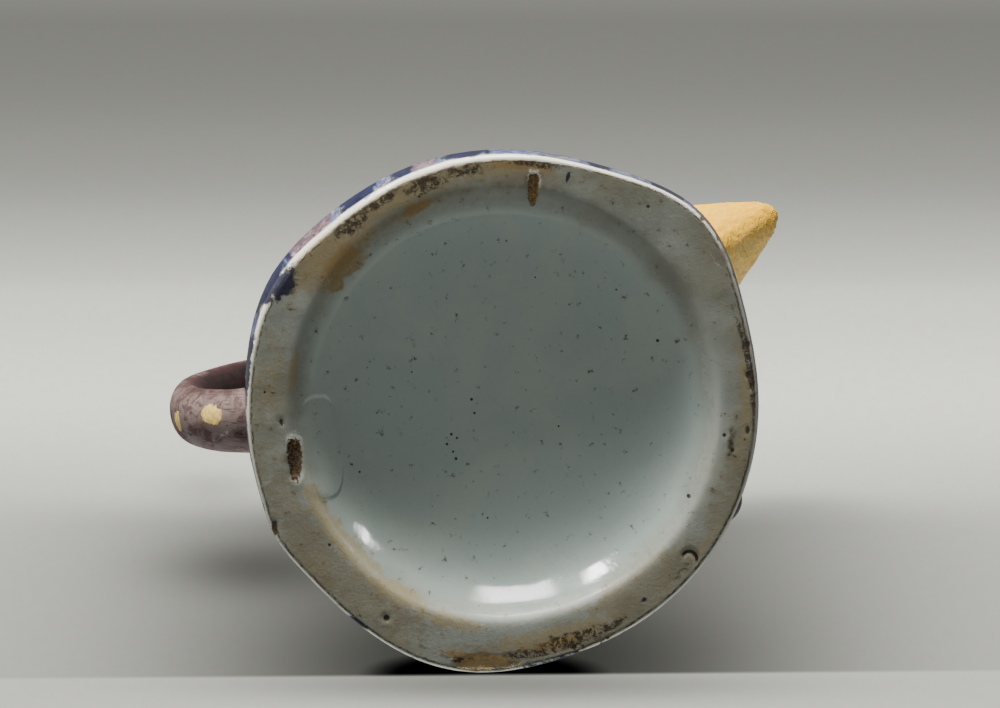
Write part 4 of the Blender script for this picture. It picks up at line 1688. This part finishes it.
# The board behind, in the pixels of a 1000 by 708 frame: display brightness down the frame, its near edge,
# the soft shadows on it (middle across and down, half width and height, depth) and the gap under the jug
backdrop = dict(viewCurve=(0.1825, 1.111, 0.9953, -1.3326), distance=0.95, margin=0.01, tint=(1.0, 1.0, 0.90),
                levels=((0, 137), (30, 132), (120, 146), (200, 168), (280, 194), (330, 203), (420, 206),
                        (530, 190), (672, 184)),
                nearEdge=(674.0, -0.008), stripLevel=191,
                shadows=((505, 620, 290, 400, 0.45), (510, 662, 195, 62, 0.50), (260, 567, 85, 26, 0.30),
                         (215, 488, 50, 15, 0.06), (790, 505, 70, 14, 0.05)),
                shadowTop=(488, 530), gap=(486, 675, 108, 23, 0.995), stripShade=(500, 684, 250, 17, 0.22))


def frameQuad(name, low, high, distance):
    # A quad facing the camera; its UV runs 0 to 1 over the photo's frame
    halfWide = distance * 18.0 / camera["lens"]
    halfTall = halfWide * 0.708
    corners = [(low, low), (high, low), (high, high), (low, high)]
    points = [fromCamera(((2 * u - 1) * halfWide, (2 * v - 1) * halfTall, -distance)) for u, v in corners]
    made = plainObject(name, meshFrom(name, points, [(0, 1, 2, 3)]))
    layer = made.data.uv_layers.new(name="frame")
    for loop, uv in zip(layer.data, corners):
        loop.uv = uv
    return made


def bareMaterial(name, thing):
    material = bpy.data.materials.new(name)
    material.use_nodes = True
    material.node_tree.nodes.clear()
    thing.data.materials.append(material)
    return Bench(material.node_tree)


def oneSided(b, surface):
    # Shown to the camera's own rays on its front side only, and clear to everything else
    seen = b.mul(b.node("ShaderNodeLightPath").outputs["Is Camera Ray"], b.sub(1.0, b.surface("Backfacing")))
    blend = b.node("ShaderNodeMixShader")
    for slot, value in enumerate((seen, b.made("ShaderNodeBsdfTransparent")[0], surface)):
        b.feed(blend.inputs[slot], value)
    b.made("ShaderNodeOutputMaterial", Surface=blend.outputs[0])


def addStage():
    back = frameQuad("backdrop", -backdrop["margin"], 1.0 + backdrop["margin"], backdrop["distance"])
    b = bareMaterial("paintedBoard", back)
    uv = b.node("ShaderNodeUVMap", uv_map="frame").outputs[0]
    across, up = b.split(b.vector("MULTIPLY", uv, (1000.0, 708.0, 1.0)))[:2]
    down = b.sub(708.0, up)
    levels = b.node("ShaderNodeValToRGB")
    levels.color_ramp.interpolation = "CARDINAL"
    while len(levels.color_ramp.elements) < len(backdrop["levels"]):
        levels.color_ramp.elements.new(0.5)
    for stop, (row, level) in zip(levels.color_ramp.elements, backdrop["levels"]):
        stop.position, stop.color = row / 708.0, (level / 255.0, level / 255.0, level / 255.0, 1.0)
    b.feed(levels.inputs[0], b.div(down, 708.0))

    def blot(entry):
        middleX, middleY, wide, tall, depth = entry
        dx, dy = b.div(b.sub(across, middleX), wide), b.div(b.sub(down, middleY), tall)
        return b.mul(b.bell(dx, dy), depth)

    shade = 1.0
    for number, entry in enumerate(backdrop["shadows"]):
        depth = blot(entry)
        if number == 0:
            depth = b.mul(depth, b.step(down, *backdrop["shadowTop"]))
        shade = b.mul(shade, b.sub(1.0, depth))
    gapX, gapY, gapWide, gapTall, gapDepth = backdrop["gap"]
    gap = b.group("spot", U=across, V=down, Tear=0.5, Middle_U=gapX, Middle_V=gapY, Half_Wide=gapWide,
                  Half_Tall=gapTall, Ragged=0.0, Soft=0.22)["Mask"]
    shade = b.mul(shade, b.sub(1.0, b.mul(gap, gapDepth)))
    strip = b.mul(backdrop["stripLevel"] / 255.0, b.sub(1.0, blot(backdrop["stripShade"])))
    edgeRow, edgeLean = backdrop["nearEdge"]
    past = b.step(b.sub(down, b.add(edgeRow, b.mul(b.sub(across, 500.0), edgeLean))), -1.5, 2.5)
    level = b.add(b.product(levels.outputs[0], shade, b.sub(1.0, past)), b.mul(strip, past))
    level = b.mul(level, b.add(0.99, b.mul(b.noise(uv, 90.0, 3.0), 0.02)))
    # the view transform turned round: from display level to light
    scale, exponent, white, climb = backdrop["viewCurve"]
    light = b.product(b.power(level, exponent), b.power(b.sub(1.0, b.div(level, white)), climb), scale)
    colour = b.mix(1.0, b.join(light, light, light), backdrop["tint"] + (1.0,), "MULTIPLY")
    oneSided(b, b.made("ShaderNodeEmission", Color=colour)[0])
    half, below = 0.6, -0.0005
    corners = [(x * half, y * half, below) for x, y in ((-1, -1), (1, -1), (1, 1), (-1, 1))]
    floor = plainObject("floor", meshFrom("floor", corners, [(0, 1, 2, 3)]))
    b = bareMaterial("paleTable", floor)
    place = b.node("ShaderNodeTexCoord").outputs["Object"]
    cloud = b.noise(place, 6.0, 4.0)
    oneSided(b, b.made("ShaderNodeBsdfDiffuse",
                       Color=b.mix(cloud, tone(196, 196, 188), tone(208, 208, 200)))[0])


addCamera()
addLights()
addStage()
print("stage set")
